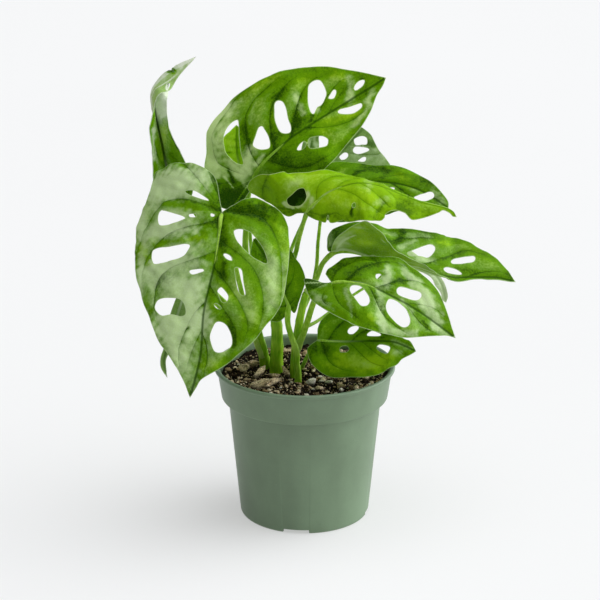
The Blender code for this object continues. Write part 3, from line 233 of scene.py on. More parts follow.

# %% [markdown]
# ## The leaves in numbers
# A leaf is given by the line of its midrib in space, the way its face looks, how far each
# half folds up and curls over, its outline laid flat, and its holes. The right half is the
# one on the right when the upper side is seen with the tip up. A hole is a closed smooth
# curve through its points on the flat leaf.
#
# The points of the midribs, stalks, outlines and holes were marked on the photograph, with a guess of their
# depth. A separate small program, which isn't part of this lesson, worked out where the marks lie in space
# or on the flat leaf, rounded them to whole or half millimetres and wrote the table. How a leaf faces,
# folds and curls was chosen, and so were some points that the photograph doesn't show.

# %% Leaf table
# Each stem: its radius and the points that it grows through, from under the soil to its end.
STEMS = {
    "stem_left": (3.4, [(-23.5, 11, 74), (-23.5, 11, 87), (-25.5, 8, 100), (-28, 6, 111), (-29.5, 4, 130)]),
    "stem_middle": (4.1, [(-17, 5, 74), (-17, 5, 87), (-16.5, 4, 107), (-17, 4, 120), (-19, 4, 133)]),
    "stem_right": (2.9, [(-6, -5, 74), (-6, -5, 87), (-5, -5, 108), (-2, -5, 128), (1, -5, 141)]),
}
LEAVES = {
    "leaf_front_left": dict(
        petiole_radius=1.5,
        midrib=[(-47, -30, 197), (-51, -46, 172), (-57, -58, 147), (-59, -66, 123), (-65, -70, 99)],
        facing=[(-6, 52), (-8, 34), (-6, 12)],
        fold=[(8, 6, 10), (4, 6, 10)],
        curl=[(-35, -25, -10), (-28, -20, -10)],
        lobe_bend=-14,
        right=[(-6, 2), (-20, 7), (-26, 15), (-30, 24), (-30, 33), (-28, 41), (-24, 47), (-6, 48),
               (12, 52), (36, 50), (56, 38), (66, 30), (82, 22), (99, 7)],
        left=[(-4, -5), (-8, -11), (-10, -18), (-8, -25), (-5, -32), (2, -38), (10, -40), (30, -42),
              (47, -42), (70, -33), (82, -20), (95, -5), (102, -2)],
        holes=[[(-10, 23), (-10.5, 18.5), (-9, 14), (-5.5, 8.5), (-6.5, 14.5), (-8, 20)],
               [(2, 36.5), (2, 34), (5, 22), (7, 22), (10.5, 33), (9, 36.5), (4, 37.5)],
               [(3.5, 18.5), (3.5, 14.5), (5, 14.5), (5, 18)],
               [(2, 6), (2.5, 4), (3.5, 4.5), (3.5, 6)],
               [(28.5, 38.5), (25.5, 36), (23, 24.5), (21.5, 16.5), (24.5, 16), (30, 19.5),
                (37, 33), (35.5, 36.5)],
               [(38.5, 13), (37, 12), (35.5, 6), (36.5, 5), (38, 7.5), (39.5, 11)],
               [(59, 28.5), (56.5, 27), (55, 22), (54.5, 15), (56.5, 11.5), (61, 10), (62.5, 12.5),
                (62, 18), (63, 23.5), (61, 27.5)],
               [(11.5, -8.5), (10, -10), (10, -13.5), (11.5, -18), (16, -23), (21, -27),
                (26.5, -29.5), (25.5, -24), (23, -19), (19.5, -14), (16, -10.5)],
               [(25.5, -4.5), (24.5, -5), (25, -7.5), (27, -10), (28, -9.5), (27.5, -7)],
               [(32, -12.5), (31.5, -14.5), (32.5, -16.5), (38.5, -19), (44, -21.5), (45, -20),
                (43, -17), (36.5, -14)],
               [(45.5, -5.5), (43.5, -7), (44, -8.5), (47, -12), (50, -12.5), (51.5, -11), (51, -9),
                (48.5, -7)],
               [(54, -5.5), (53, -6.5), (54.5, -9.5), (56, -9.5), (55.5, -7)],
               [(73.5, -5), (68.5, -6), (64.5, -8), (64, -11), (66, -14), (70.5, -16.5),
                (76, -17.5), (79, -15), (80.5, -11), (79.5, -7.5)]],
        petiole=[(-25, 8, 95), (-29, 4, 106), (-34, -3, 126), (-39, -14, 153), (-43, -24, 178),
                 (-47, -30, 197)]),
    "leaf_top": dict(
        petiole_radius=1.9,
        midrib=[(-30, 6, 207), (-24, 5, 216), (-17, 5, 223), (-8, 5, 231), (1, 6, 237),
                (22, 12, 249), (47, 16, 264)],
        facing=[(8, 18), (12, 16), (14, 20)],
        fold=[(4, 4, 10), (4, 0, 8)],
        curl=[(-10, -10, -6), (-55, -30, -10)],
        lobe_bend=-10,
        right=[(-2, 5), (-4, 10), (-4, 16), (-4, 24), (-2, 30), (3, 34), (20, 32), (28, 30),
               (40, 26), (50, 24), (61, 20), (70, 17), (80, 12), (88, 6), (94, 3)],
        left=[(-5, 3), (-11, 3), (-18, 3), (-24, 1), (-28, -4), (-27, -12), (-22, -20), (-16, -26),
              (-7, -34), (0, -40), (8, -42), (14, -42), (26, -42), (35, -40), (49, -36), (60, -31),
              (72, -24), (80, -17), (88, -10)],
        holes=[[(8, -28), (10.5, -30), (12.5, -30.5), (15, -30), (16, -28), (12.5, -22),
                (9.5, -16.5), (4, -9.5), (2, -11.5), (1.5, -16.5), (2.5, -21.5), (5, -24.5)],
               [(14.5, -12), (18.5, -14.5), (22.5, -16.5), (24.5, -16), (24.5, -14), (23.5, -9.5),
                (21.5, -5.5), (19, -4), (15.5, -6.5), (14, -10)],
               [(34.5, -18.5), (36.5, -22), (38.5, -22), (40, -19.5), (39.5, -15.5), (37.5, -10),
                (36.5, -5.5), (34.5, -3), (32, -4), (30.5, -6.5), (31, -10.5), (32.5, -15)],
               [(55.5, -17), (58, -20), (61.5, -20.5), (64.5, -19), (65, -16), (64, -11),
                (61.5, -8.5), (58, -6.5), (55, -6.5), (51.5, -4.5), (50.5, -6.5), (52, -11.5)],
               [(63.5, -7.5), (66, -9), (68.5, -10), (69.5, -9), (68.5, -7.5), (66, -6)],
               [(79, -4.5), (81, -6), (84, -6.5), (86.5, -5.5), (85.5, -4), (83, -3), (79.5, -3)],
               [(64, 2), (66, 1.5), (70.5, 3), (74.5, 4), (78, 5), (77, 7), (72, 7.5), (68, 6),
                (64.5, 3.5)],
               [(32, 7), (35, 6), (38, 6), (38.5, 7.5), (36.5, 9), (33.5, 9), (31.5, 8)],
               [(40.5, 7), (43, 6.5), (48.5, 9), (50.5, 12), (50, 13.5), (48, 15), (44.5, 14),
                (39.5, 11.5), (39, 9.5)]],
        petiole=[(-29, 4, 129), (-32, 7, 142), (-35, 11, 161), (-34, 12, 182), (-33, 10, 196),
                 (-30, 6, 207)]),
    "leaf_left_curled": dict(
        petiole_radius=1.3,
        midrib=[(-79, 24, 189), (-81, 22, 206), (-84, 20, 225), (-87, 20, 240), (-89, 22, 252),
                (-85, 24, 260), (-77, 25, 267), (-63, 26, 274)],
        facing=[(5, 5), (5, 3), (12, 0), (80, 0), (150, 8), (160, 15)],
        fold=[(35, 40, 60, 100, 112, 112), (45, 50, 45, 20, 0, -8)],
        curl=[(10, 10, 10), (10, 10, 10)],
        lobe_bend=0,
        right=[(-5, 5), (-3, 11), (6, 16), (18, 18), (36, 13), (50, 9), (60, 9), (70, 9), (84, 5)],
        left=[(-5, -5), (-3, -10), (6, -13), (20, -13), (38, -10), (52, -10), (62, -11), (72, -10),
              (84, -6)],
        holes=[[(83, 0), (85, 2), (83.5, 8), (81.5, 4)],
               [(76, -5), (77, -6), (74, -8), (72, -9), (73, -6.5)]],
        petiole=[(-28, 6, 111), (-37, 15, 116), (-47, 24, 123), (-56, 28, 132), (-59, 28, 146),
                 (-61, 28, 165), (-64, 27, 177), (-70, 26, 184), (-79, 24, 189)]),
    "leaf_back_right": dict(
        petiole_radius=1.2,
        midrib=[(8, 46, 191), (18, 48, 206), (28, 50, 217), (35, 52, 225)],
        facing=[(10, 20), (10, 18), (10, 16)],
        fold=[(8, 8, 8), (8, 8, 8)],
        curl=[(-20, -20, -10), (-20, -20, -10)],
        lobe_bend=0,
        right=[(-2, 10), (2, 22), (14, 34), (32, 34), (37, 29), (39, 22), (40, 16), (42, 11),
               (44, 6)],
        left=[(-2, -6), (1, -13), (10, -19), (18, -23), (22, -22), (30, -18), (37, -12), (42, -6)],
        holes=[[(34.5, 1), (36, 0.5), (39, 2), (40.5, 4), (40.5, 6), (38, 8), (36, 6), (33.5, 3.5)],
               [(30.5, 4), (32.5, 4), (34.5, 6.5), (36.5, 10), (36, 11.5), (33, 10), (30.5, 8),
                (29.5, 5.5)],
               [(21.5, 1), (23.5, 1), (25.5, 1.5), (26.5, 3), (25.5, 4.5), (23, 4.5), (21, 3)],
               [(27.5, 11), (29, 11), (31, 11.5), (32, 13), (30, 14)],
               [(23, -16.5), (25.5, -15), (27, -11), (23, -7), (19.5, -8), (18, -11), (20.5, -14)]],
        petiole=[(-18, 4, 125), (-15, 14, 135), (-8, 28, 156), (1, 40, 174), (8, 46, 191)]),
    "leaf_middle_bright": dict(
        petiole_radius=1.5,
        midrib=[(0, -14, 191), (5, -17, 197), (12, -17, 204), (21, -16, 208), (31, -15, 210),
                (43, -14, 208), (55, -14, 203), (66, -16, 199), (76, -18, 197), (81, -19, 196),
                (85, -20, 194), (87, -21, 191)],
        facing=[(-8, 14), (0, 88), (8, 60)],
        fold=[(-5, -30, -20), (0, -4, -10)],
        curl=[(-20, -60, -20), (0, -40, -20)],
        lobe_bend=-4,
        right=[(0, 2), (2, 7), (6, 12), (10, 10), (8, 14), (14, 18), (27, 22), (44, 24), (57, 22),
               (60, 19), (60, 16), (64, 12), (70, 11), (74, 13), (76, 13), (80, 10), (84, 7),
               (88, 4), (90, 2), (94, 2), (98, 2)],
        left=[(-4, -3), (-11, -6), (-13, -16), (-17, -25), (-20, -32), (-18, -35), (-12, -36),
              (-4, -34), (2, -29), (12, -24), (18, -18), (28, -16), (42, -14), (55, -8), (67, -3),
              (80, -2), (94, -1)],
        holes=[[(-2.5, -13), (2, -13), (7, -13), (10.5, -11.5), (10, -9), (7.5, -6), (2.5, -5),
                (-2.5, -7.5), (-4.5, -10.5)],
               [(31, 12.5), (33, 12.5), (32.5, 14.5), (30.5, 14.5)]],
        petiole=[(-19, 4, 132), (-12, 6, 145), (-6, 5, 159), (-3, -2, 174), (0, -14, 191)]),
    "leaf_middle_dark": dict(
        petiole_radius=1.15,
        midrib=[(9, 20, 184), (21, 22, 192), (36, 24, 199), (54, 22, 199), (70, 14, 196),
                (84, 4, 189)],
        facing=[(0, 50), (5, 52), (12, 40)],
        fold=[(0, -6, -6), (6, 6, 6)],
        curl=[(-20, -30, -20), (-20, -26, -20)],
        lobe_bend=-8,
        right=[(-2, 4), (2, 12), (12, 18), (38, 22), (62, 16), (80, 8)],
        left=[(-1, -8), (1, -16), (10, -22), (21, -22), (29, -16), (38, -12), (51, -12), (68, -8),
              (82, -4)],
        holes=[[(64.5, 6), (66.5, 3), (70, -1.5), (72.5, -2.5), (74.5, -0.5), (73, 4), (68, 6.5)],
               [(46.5, 3.5), (49, 3), (49.5, 4.5), (47, 4.5)]],
        petiole=[(-1, -5, 130), (4, 0, 140), (7, 6, 153), (8, 12, 167), (9, 20, 184)]),
    "leaf_right_long": dict(
        petiole_radius=1.6,
        midrib=[(15, -8, 166), (23, -10, 169), (40, -10, 164), (59, -7, 158), (74, -3, 152),
                (87, 0, 148), (100, 3, 147), (114, 5, 146), (125, 6, 143)],
        facing=[(0, 56), (0, 50), (0, 50)],
        fold=[(86, 84, 68, 20, 5), (4, 4, 4)],
        curl=[(10, 10, 0), (-10, -16, -10)],
        lobe_bend=-6,
        right=[(6, 8), (10, 21), (14, 30), (20, 29), (26, 24), (34, 14), (42, 10), (52, 10),
               (62, 11), (90, 2), (100, 2), (112, 1)],
        left=[(-2, -2), (-2, -8), (0, -14), (5, -16), (9, -18), (13, -20), (20, -22), (33, -23),
              (44, -25), (63, -28), (74, -29), (85, -28), (90, -25), (96, -20), (104, -14),
              (109, -8)],
        holes=[[(47.5, -8), (51.5, -11), (57.5, -15.5), (63, -18.5), (65.5, -17.5), (65, -14),
                (61.5, -9.5), (54.5, -8), (49, -6.5)],
               [(77.5, -10.5), (80.5, -12.5), (87.5, -13.5), (92, -14), (93, -12.5), (91.5, -10),
                (87, -9), (78.5, -9)],
               [(71.5, -4), (74, -5.5), (79, -5.5), (82.5, -3.5), (83.5, -2), (78.5, -2),
                (73.5, -2.5)]],
        petiole=[(1, -5, 140), (5, -5, 145), (8, -5, 152), (11, -6, 159), (15, -8, 166)]),
    "leaf_right_low": dict(
        petiole_radius=1.8,
        midrib=[(15, -37, 157), (32, -41, 158), (50, -41, 150), (67, -39, 139), (87, -37, 123)],
        facing=[(-4, 50), (0, 48), (6, 34)],
        fold=[(4, 4, 6), (4, 4, 6)],
        curl=[(-24, -20, -10), (-30, -30, -14)],
        lobe_bend=-6,
        right=[(-5, 0), (-10, -2), (-16, -3), (-16, 0), (-12, 9), (-6, 15), (12, 25), (29, 26),
               (42, 23), (56, 18), (70, 8), (78, 2)],
        left=[(-3, -4), (-4, -6), (-2, -11), (4, -16), (12, -18), (22, -22), (34, -28), (44, -25),
              (54, -22), (61, -18), (68, -12), (75, -6)],
        holes=[[(12, 6), (12.5, 3), (15, 2), (18, 2.5), (21.5, 5), (24.5, 7.5), (25.5, 10.5),
                (24, 13.5), (20.5, 14.5), (15.5, 10.5)],
               [(35.5, 8), (35.5, 4), (37.5, 2), (41, 1.5), (44.5, 2.5), (48.5, 4), (52, 8),
                (52.5, 12), (49.5, 14.5), (44, 14), (38.5, 11.5)],
               [(38.5, -4), (39, -6.5), (42, -8.5), (47.5, -9.5), (52, -10.5), (53.5, -8.5),
                (51.5, -5), (46, -3), (40.5, -2.5)],
               [(24.5, -7), (24.5, -8.5), (26.5, -9.5), (27.5, -8.5), (27, -7), (25.5, -6)]],
        petiole=[(-5, -5, 104), (0, -11, 119), (5, -21, 139), (9, -30, 149), (15, -37, 157)]),
    "leaf_right_lowest": dict(
        petiole_radius=1.2,
        midrib=[(7, -18, 115), (23, -20, 115), (38, -22, 116), (52, -24, 116), (65, -26, 111)],
        facing=[(-4, 44), (0, 42), (0, 36)],
        fold=[(4, 4, 4), (4, 4, 4)],
        curl=[(-24, -24, -14), (-20, -20, -10)],
        lobe_bend=-4,
        right=[(-4, 4), (-5, 8), (-1, 16), (9, 22), (20, 22), (29, 22), (38, 20), (51, 14), (54, 8),
               (57, 4)],
        left=[(0, -4), (0, -8), (2, -14), (8, -20), (20, -20), (30, -14), (40, -6), (50, -4),
              (54, -4)],
        holes=[[(14, 5), (15, 3.5), (17.5, 3), (19, 4.5), (18.5, 6.5), (16.5, 7), (14.5, 7)],
               [(35.5, 4), (37, 2.5), (39.5, 2.5), (43.5, 3.5), (43.5, 6), (42, 8), (38.5, 7),
                (36, 5.5)],
               [(18, -6), (19, -8), (22, -9.5), (24.5, -9), (24, -7), (21.5, -4.5), (19, -4.5)],
               [(29.5, -4), (31, -5.5), (33, -6), (37, -4.5), (37, -3), (30.5, -3)]],
        petiole=[(-2, 5, 76), (-2, 5, 87), (1, -3, 98), (4, -11, 107), (7, -18, 115)]),
    "leaf_far_right": dict(
        petiole_radius=0.9,
        midrib=[(53, 34, 146), (61, 34, 148), (70, 34, 145), (78, 34, 139), (83, 34, 132),
                (86, 34, 120)],
        facing=[(0, 40), (0, 38), (0, 34)],
        fold=[(6, 6, 6), (6, 6, 6)],
        curl=[(-15, -15, -8), (-15, -15, -8)],
        lobe_bend=0,
        right=[(-3, 4), (3, 6), (14, 6), (22, 4), (28, 3), (35, 4), (42, 2), (46, 2)],
        left=[(-2, -4), (3, -7), (8, -8), (11, -6), (16, -4), (23, -3), (31, -2), (38, -2),
              (45, -2)],
        holes=[],
        petiole=[(-3, -5, 117), (7, 3, 119), (19, 15, 124), (29, 25, 128), (36, 30, 131),
                 (43, 33, 134), (49, 34, 140), (53, 34, 146)]),
    "leaf_centre_small": dict(
        petiole_radius=1.9,
        midrib=[(-9, -8, 131), (-13, -9, 142), (-20, -8, 158), (-30, -5, 173)],
        facing=[(4, 24), (4, 22), (6, 24)],
        fold=[(8, 8, 8), (8, 8, 8)],
        curl=[(-20, -20, -10), (-20, -20, -10)],
        lobe_bend=0,
        right=[(-4, 2), (2, 7), (8, 12), (12, 15), (17, 16), (22, 16), (26, 15), (30, 15), (38, 14),
               (45, 8)],
        left=[(-4, -5), (-4, -11), (4, -17), (16, -18), (30, -13), (42, -6)],
        holes=[],
        petiole=[(-4, -12, 76), (-4, -12, 93), (-5, -12, 99), (-5, -12, 106), (-8, -11, 115),
                 (-10, -10, 123), (-9, -8, 131)]),
    "leaf_inner_back": dict(
        petiole_radius=1.1,
        midrib=[(-35, 26, 190), (-38, 26, 205), (-40, 26, 218), (-40, 28, 233)],
        facing=[(10, 10), (10, 5), (10, 0)],
        fold=[(10, 10, 10), (10, 10, 10)],
        curl=[(20, 10, -10), (10, 10, -10)],
        lobe_bend=0,
        right=[(3, 4), (11, 8), (21, 8), (34, 6), (40, 3)],
        left=[(5, -4), (12, -8), (20, -9), (28, -10), (36, -8), (40, -4)],
        holes=[],
        petiole=[(-29, 5, 120), (-30, 13, 135), (-32, 22, 158), (-33, 25, 174), (-35, 26, 190)]),
    "leaf_left_hidden": dict(
        petiole_radius=1,
        midrib=[(-70, -4, 141), (-73, -7, 133), (-77, -11, 121), (-81, -15, 109), (-83, -17, 101),
                (-81, -18, 91)],
        facing=[(-20, 30), (-20, 20), (-20, 10)],
        fold=[(20, 25, 20), (20, 25, 20)],
        curl=[(-10, -10, -10), (-10, -10, -10)],
        lobe_bend=0,
        right=[(2, 3), (9, 4), (21, 4), (34, 2), (42, 2), (48, 2)],
        left=[(0, -4), (6, -9), (19, -10), (32, -6), (40, -2), (46, -1)],
        holes=[],
        petiole=[(-27, 6, 106), (-29, 12, 107), (-34, 14, 109), (-46, 12, 120), (-59, 6, 135),
                 (-65, 0, 144), (-70, -4, 141)]),
}
print(len(LEAVES), "leaves,", sum(len(leaf["holes"]) for leaf in LEAVES.values()), "holes")

# %% [markdown]
# ## From a flat leaf to a leaf in space
# A leaf blade is nearly a flat sheet that has been bent without much stretching. So every
# point keeps its distance along the midrib and its distance across. The midrib bends the
# first way. Across it each half is an arc, which starts at the fold angle and turns by the
# curl. Behind the stalk the two lobes carry on along the midrib's line.

# %% Blade in space
def along(values, s):
    """Values given at equal steps from base to tip, joined by a smooth curve."""
    c = smooth_curve(np.asarray(values, float).reshape(len(values), -1), 16)
    joined = points_at(c, np.arange(len(c)), np.clip(s, 0, 1) * (len(c) - 1))
    return joined if joined.shape[-1] > 1 else joined[..., 0]


def directions(pairs):
    """Unit vectors from pairs of turn (from -Y towards +X) and rise, in degrees."""
    turn, rise = np.radians(np.asarray(pairs, float)).T
    return np.stack([np.sin(turn) * np.cos(rise), -np.cos(turn) * np.cos(rise), np.sin(rise)], -1)


def blade_points(leaf, u, v):
    """Places on the blade's upper side for distances u along and v across the midrib. With
    an arc that turns from a fold to an end angle, the place across is the difference of
    their sines over the turn a mm, and the rise that of their cosines."""
    line = smooth_curve(leaf["midrib"], 24)
    run = run_length(line)
    length = run[-1]

    def on_midrib(distance):
        return points_at(line, run, np.clip(distance, 0, length))

    base = np.clip(u, 0, length)
    place = on_midrib(base)
    forward = unit(on_midrib(base + 1.5) - on_midrib(base - 1.5))
    s = base / length
    up = along(directions(leaf["facing"]), s)
    up = unit(up - forward * np.sum(up * forward, -1, keepdims=True))
    side = np.cross(forward, up)

    behind = np.maximum(-u, 0)[..., None]
    bend = math.radians(leaf["lobe_bend"] or 0.01) / 20
    place = place - forward * np.sin(bend * behind) / bend + up * (1 - np.cos(bend * behind)) / bend
    up = up * np.cos(bend * behind) + forward * np.sin(bend * behind)
    place = place + forward * np.maximum(u - length, 0)[..., None]

    right = v >= 0
    fold = np.radians(np.where(right, along(leaf["fold"][0], s), along(leaf["fold"][1], s)))
    curl = np.radians(np.where(right, along(leaf["curl"][0], s), along(leaf["curl"][1], s)))
    turn = curl / (0.4 * length)
    turn = np.where(np.abs(turn) < 1e-6, 1e-6, turn)
    end = fold + turn * np.abs(v)
    across = np.sign(v) * (np.sin(end) - np.sin(fold)) / turn
    rise = (np.cos(fold) - np.cos(end)) / turn
    return place + side * across[..., None] + up * rise[..., None]


for name, leaf in LEAVES.items():
    leaf["length"] = run_length(smooth_curve(leaf["midrib"], 24))[-1]
print("longest blade:", round(max(leaf["length"] for leaf in LEAVES.values())), "mm")

# %% [markdown]
# ## Cutting the flat leaf into triangles
# The holes of this monstera are what everybody looks at, so they are real holes. The
# outline and each hole become closed rings of points. The space between them is filled
# with points on a honeycomb, with extra rows beside the midrib where the groove runs.
# A Delaunay division then joins neighbours, and triangles outside the leaf or inside a
# hole are dropped. This gives smooth rims, which a square grid with faces left out can't.

# %% Flat division
# The honeycomb's step, the rows beside the midrib and the band that they fill, in mm.
LATTICE = 1.0
MIDRIB_ROWS = [-1.7, -0.9, -0.4, 0, 0.4, 0.9, 1.7]
MIDRIB_BAND = 2.4


def half_outline(leaf, side, step):
    """Even points along one half's margin, from the base to the tip."""
    return even_points([(0, 0)] + leaf[side] + [(leaf["length"], 0)], step)


def hole_ring(hole, step):
    """Even points on the closed smooth curve through a hole's points."""
    curve = smooth_curve([hole[-1]] + hole + hole[:2], 12)[12:12 * (len(hole) + 1) + 1]
    run = run_length(curve)
    at = np.linspace(0, run[-1], max(10, round(run[-1] / step)), endpoint=False)
    return points_at(curve, run, at)


def inside(points, ring):
    """Tells which points lie inside a closed ring, by counting the edges to their right."""
    x, y = points[:, 0:1], points[:, 1:2]
    x0, y0 = ring[:, 0], ring[:, 1]
    x1, y1 = np.roll(x0, -1), np.roll(y0, -1)
    spans = (y0 > y) != (y1 > y)
    crossing = x0 + (y - y0) * (x1 - x0) / np.where(y1 == y0, 1e-9, y1 - y0)
    return np.sum(spans & (x < crossing), axis=1) % 2 == 1


def nearest(points, others):
    """The distance from each point to the nearest of the others."""
    gaps = [np.min(np.linalg.norm(part[:, None] - others[None], axis=-1), axis=1)
            for part in np.array_split(points, 1 + len(points) // 2000)]
    return np.concatenate(gaps)


def divide_blade(leaf, step):
    """Flat points and triangles of a blade with its holes, and each point's distance
    from the nearest edge."""
    right, left = half_outline(leaf, "right", step * 0.8), half_outline(leaf, "left", step * 0.8)
    outline = np.vstack([right, left[-2:0:-1]])
    holes = [hole_ring(hole, step * 0.7) for hole in leaf["holes"]]
    rims = np.vstack([outline] + holes)

    low, high = outline.min(axis=0), outline.max(axis=0)
    grid_u, grid_v = np.meshgrid(np.arange(low[0], high[0], step * 0.87),
                                 np.arange(low[1], high[1], step), indexing="ij")
    grid_v = grid_v + (np.arange(len(grid_u)) % 2)[:, None] * step / 2
    comb = np.stack([grid_u.ravel(), grid_v.ravel()], -1)
    comb = comb[~((np.abs(comb[:, 1]) < MIDRIB_BAND) & (comb[:, 0] > -0.5))]
    rows = np.meshgrid(np.arange(step, leaf["length"] - 1.5, step), MIDRIB_ROWS)
    inner = np.vstack([comb, np.stack([rows[0].ravel(), rows[1].ravel()], -1)])
    inner = inner[inside(inner, outline)]
    inner = inner[nearest(inner, rims) > step * 0.5]
    for hole in holes:
        inner = inner[~inside(inner, hole)]

    edges, count = [], 0
    for ring in [outline] + holes:
        here = count + np.arange(len(ring))
        edges += np.stack([here, np.roll(here, -1)], -1).tolist()
        count += len(ring)
    result = delaunay_2d_cdt([Vector(p) for p in np.vstack([rims, inner])], edges, [], 0, 1e-4)
    flat = np.array([tuple(p) for p in result[0]])
    faces = np.array([face for face in result[2] if len(face) == 3])
    centres = flat[faces].mean(axis=1)
    keep = inside(centres, outline)
    for hole in holes:
        keep &= ~inside(centres, hole)
    faces = faces[keep]
    corner = flat[faces]
    first, second = corner[:, 1] - corner[:, 0], corner[:, 2] - corner[:, 0]
    turned = first[:, 0] * second[:, 1] - first[:, 1] * second[:, 0] > 0
    faces[turned] = faces[turned][:, ::-1]
    used = np.unique(faces)
    flat = flat[used]
    return flat, np.searchsorted(used, faces), nearest(flat, rims), holes


flat, faces, edge, holes = divide_blade(LEAVES["leaf_far_right"], LATTICE)
print("smallest test leaf:", len(flat), "points,", len(faces), "triangles")

# %% [markdown]
# ## Where the veins run
# Side veins leave the midrib almost square near the base and more slanted near the tip.
# They bend forward and then follow the margin. In the lobes they fan out backwards. Each
# vein is known by the share of the midrib at which it starts, less than zero in a lobe.
# A point's own share is found the other way round, from the family of curves. The holes
# of a monstera lie between its side veins, so the veins are set in the gaps that the
# holes leave. A point then knows which two veins it lies between, and how far apart they
# are there: that drives both the quilted relief and the drawn vein lines.

# %% Veins
# The left half's veins are numbered from here, far from the right half's.
FIRST_LEFT_VEIN = 40


def half_width(leaf, side, u):
    """How wide one half is at a distance along the midrib, never under three tenths of
    its widest."""
    margin = half_outline(leaf, side, 2.0)
    at = np.arange(0, leaf["length"] + 2, 2.0)
    near = np.abs(margin[None, :, 0] - at[:, None]) < 3
    wide = np.max(np.where(near, np.abs(margin[None, :, 1]), 0), axis=1)
    return np.maximum(np.interp(u, at, wide), 0.3 * wide.max())


def vein_curve(leaf, share, distance, width):
    """How far along the midrib a vein is at a distance from it. Forward of the stalk: its
    start, plus the length times (a slope times the part of the width, plus its sixth
    power). In a lobe that bend fades and a backward slant takes over."""
    part = distance / width
    bend = 0.55 * np.minimum(part, 1.1) ** 6
    forward = leaf["length"] * (share + (0.10 + 0.75 * share) * part + bend)
    back = (1 + share) * leaf["length"] * (0.10 * part + bend) + share * 2.7 * distance
    return np.where(share >= 0, forward, back)


def vein_share(leaf, side, u, distance):
    """The share of the vein that runs through each point, looked up between 90 veins."""
    shares = np.linspace(-1.0, 1.0, 90)
    width = half_width(leaf, side, np.maximum(u, 0))
    curves = vein_curve(leaf, shares[None, :], distance[:, None], width[:, None])
    above = np.clip((curves < u[:, None]).sum(axis=1), 1, len(shares) - 1)
    rows = np.arange(len(u))
    low, high = curves[rows, above - 1], curves[rows, above]
    part = np.clip((u - low) / np.maximum(high - low, 1e-6), 0, 1)
    return shares[above - 1] + part * (shares[1] - shares[0])


def vein_starts(leaf, side, holes, spacing=0.125, lobe_spacing=0.3):
    """Shares of one half's veins: in each stretch that the holes leave free, evenly, and
    wider apart in the lobe."""
    sign = 1 if side == "right" else -1
    taken = []
    for ring in holes:
        if ring[:, 1].mean() * sign < 0:
            continue
        shares = vein_share(leaf, side, ring[:, 0], np.abs(ring[:, 1]))
        taken.append((np.quantile(shares, 0.12), np.quantile(shares, 0.88)))
    starts, reach = [], -0.9
    for low, high in sorted(taken) + [(0.97, 1.1)]:
        if low > reach:
            forward = (max(low, 0) - max(reach, 0)) / spacing
            count = max(1, round(forward + (min(low, 0) - min(reach, 0)) / lobe_spacing))
            starts += [reach + (low - reach) * (i + 0.5) / count for i in range(count)]
        reach = max(reach, high)
    return np.array(starts)


def vein_field(leaf, flat, holes):
    """For each flat point: its place in the row of veins (whole numbers are veins), the
    distance between the two veins beside it, and its part of the way to the margin."""
    place, gap, part = np.zeros(len(flat)), np.ones(len(flat)), np.zeros(len(flat))
    for side, sign in (("right", 1), ("left", -1)):
        mine = flat[:, 1] * sign >= 0
        u, distance = flat[mine, 0], np.abs(flat[mine, 1])
        starts = vein_starts(leaf, side, holes)
        row = np.arange(len(starts))
        share = vein_share(leaf, side, u, distance)
        beside = vein_share(leaf, side, u + 1.0, distance)
        ahead = vein_share(leaf, side, u, distance + 1.0)
        at = np.interp(share, starts, row)
        slope = np.hypot(np.interp(beside, starts, row) - at, np.interp(ahead, starts, row) - at)
        place[mine] = at + (0 if sign > 0 else FIRST_LEFT_VEIN)
        gap[mine] = 1 / np.maximum(slope, 0.03)
        part[mine] = distance / half_width(leaf, side, np.maximum(u, 0))
    return place, np.clip(gap, 1.5, 30), part


print("far right leaf's veins:", np.round(vein_starts(LEAVES["leaf_far_right"], "right", holes), 2))
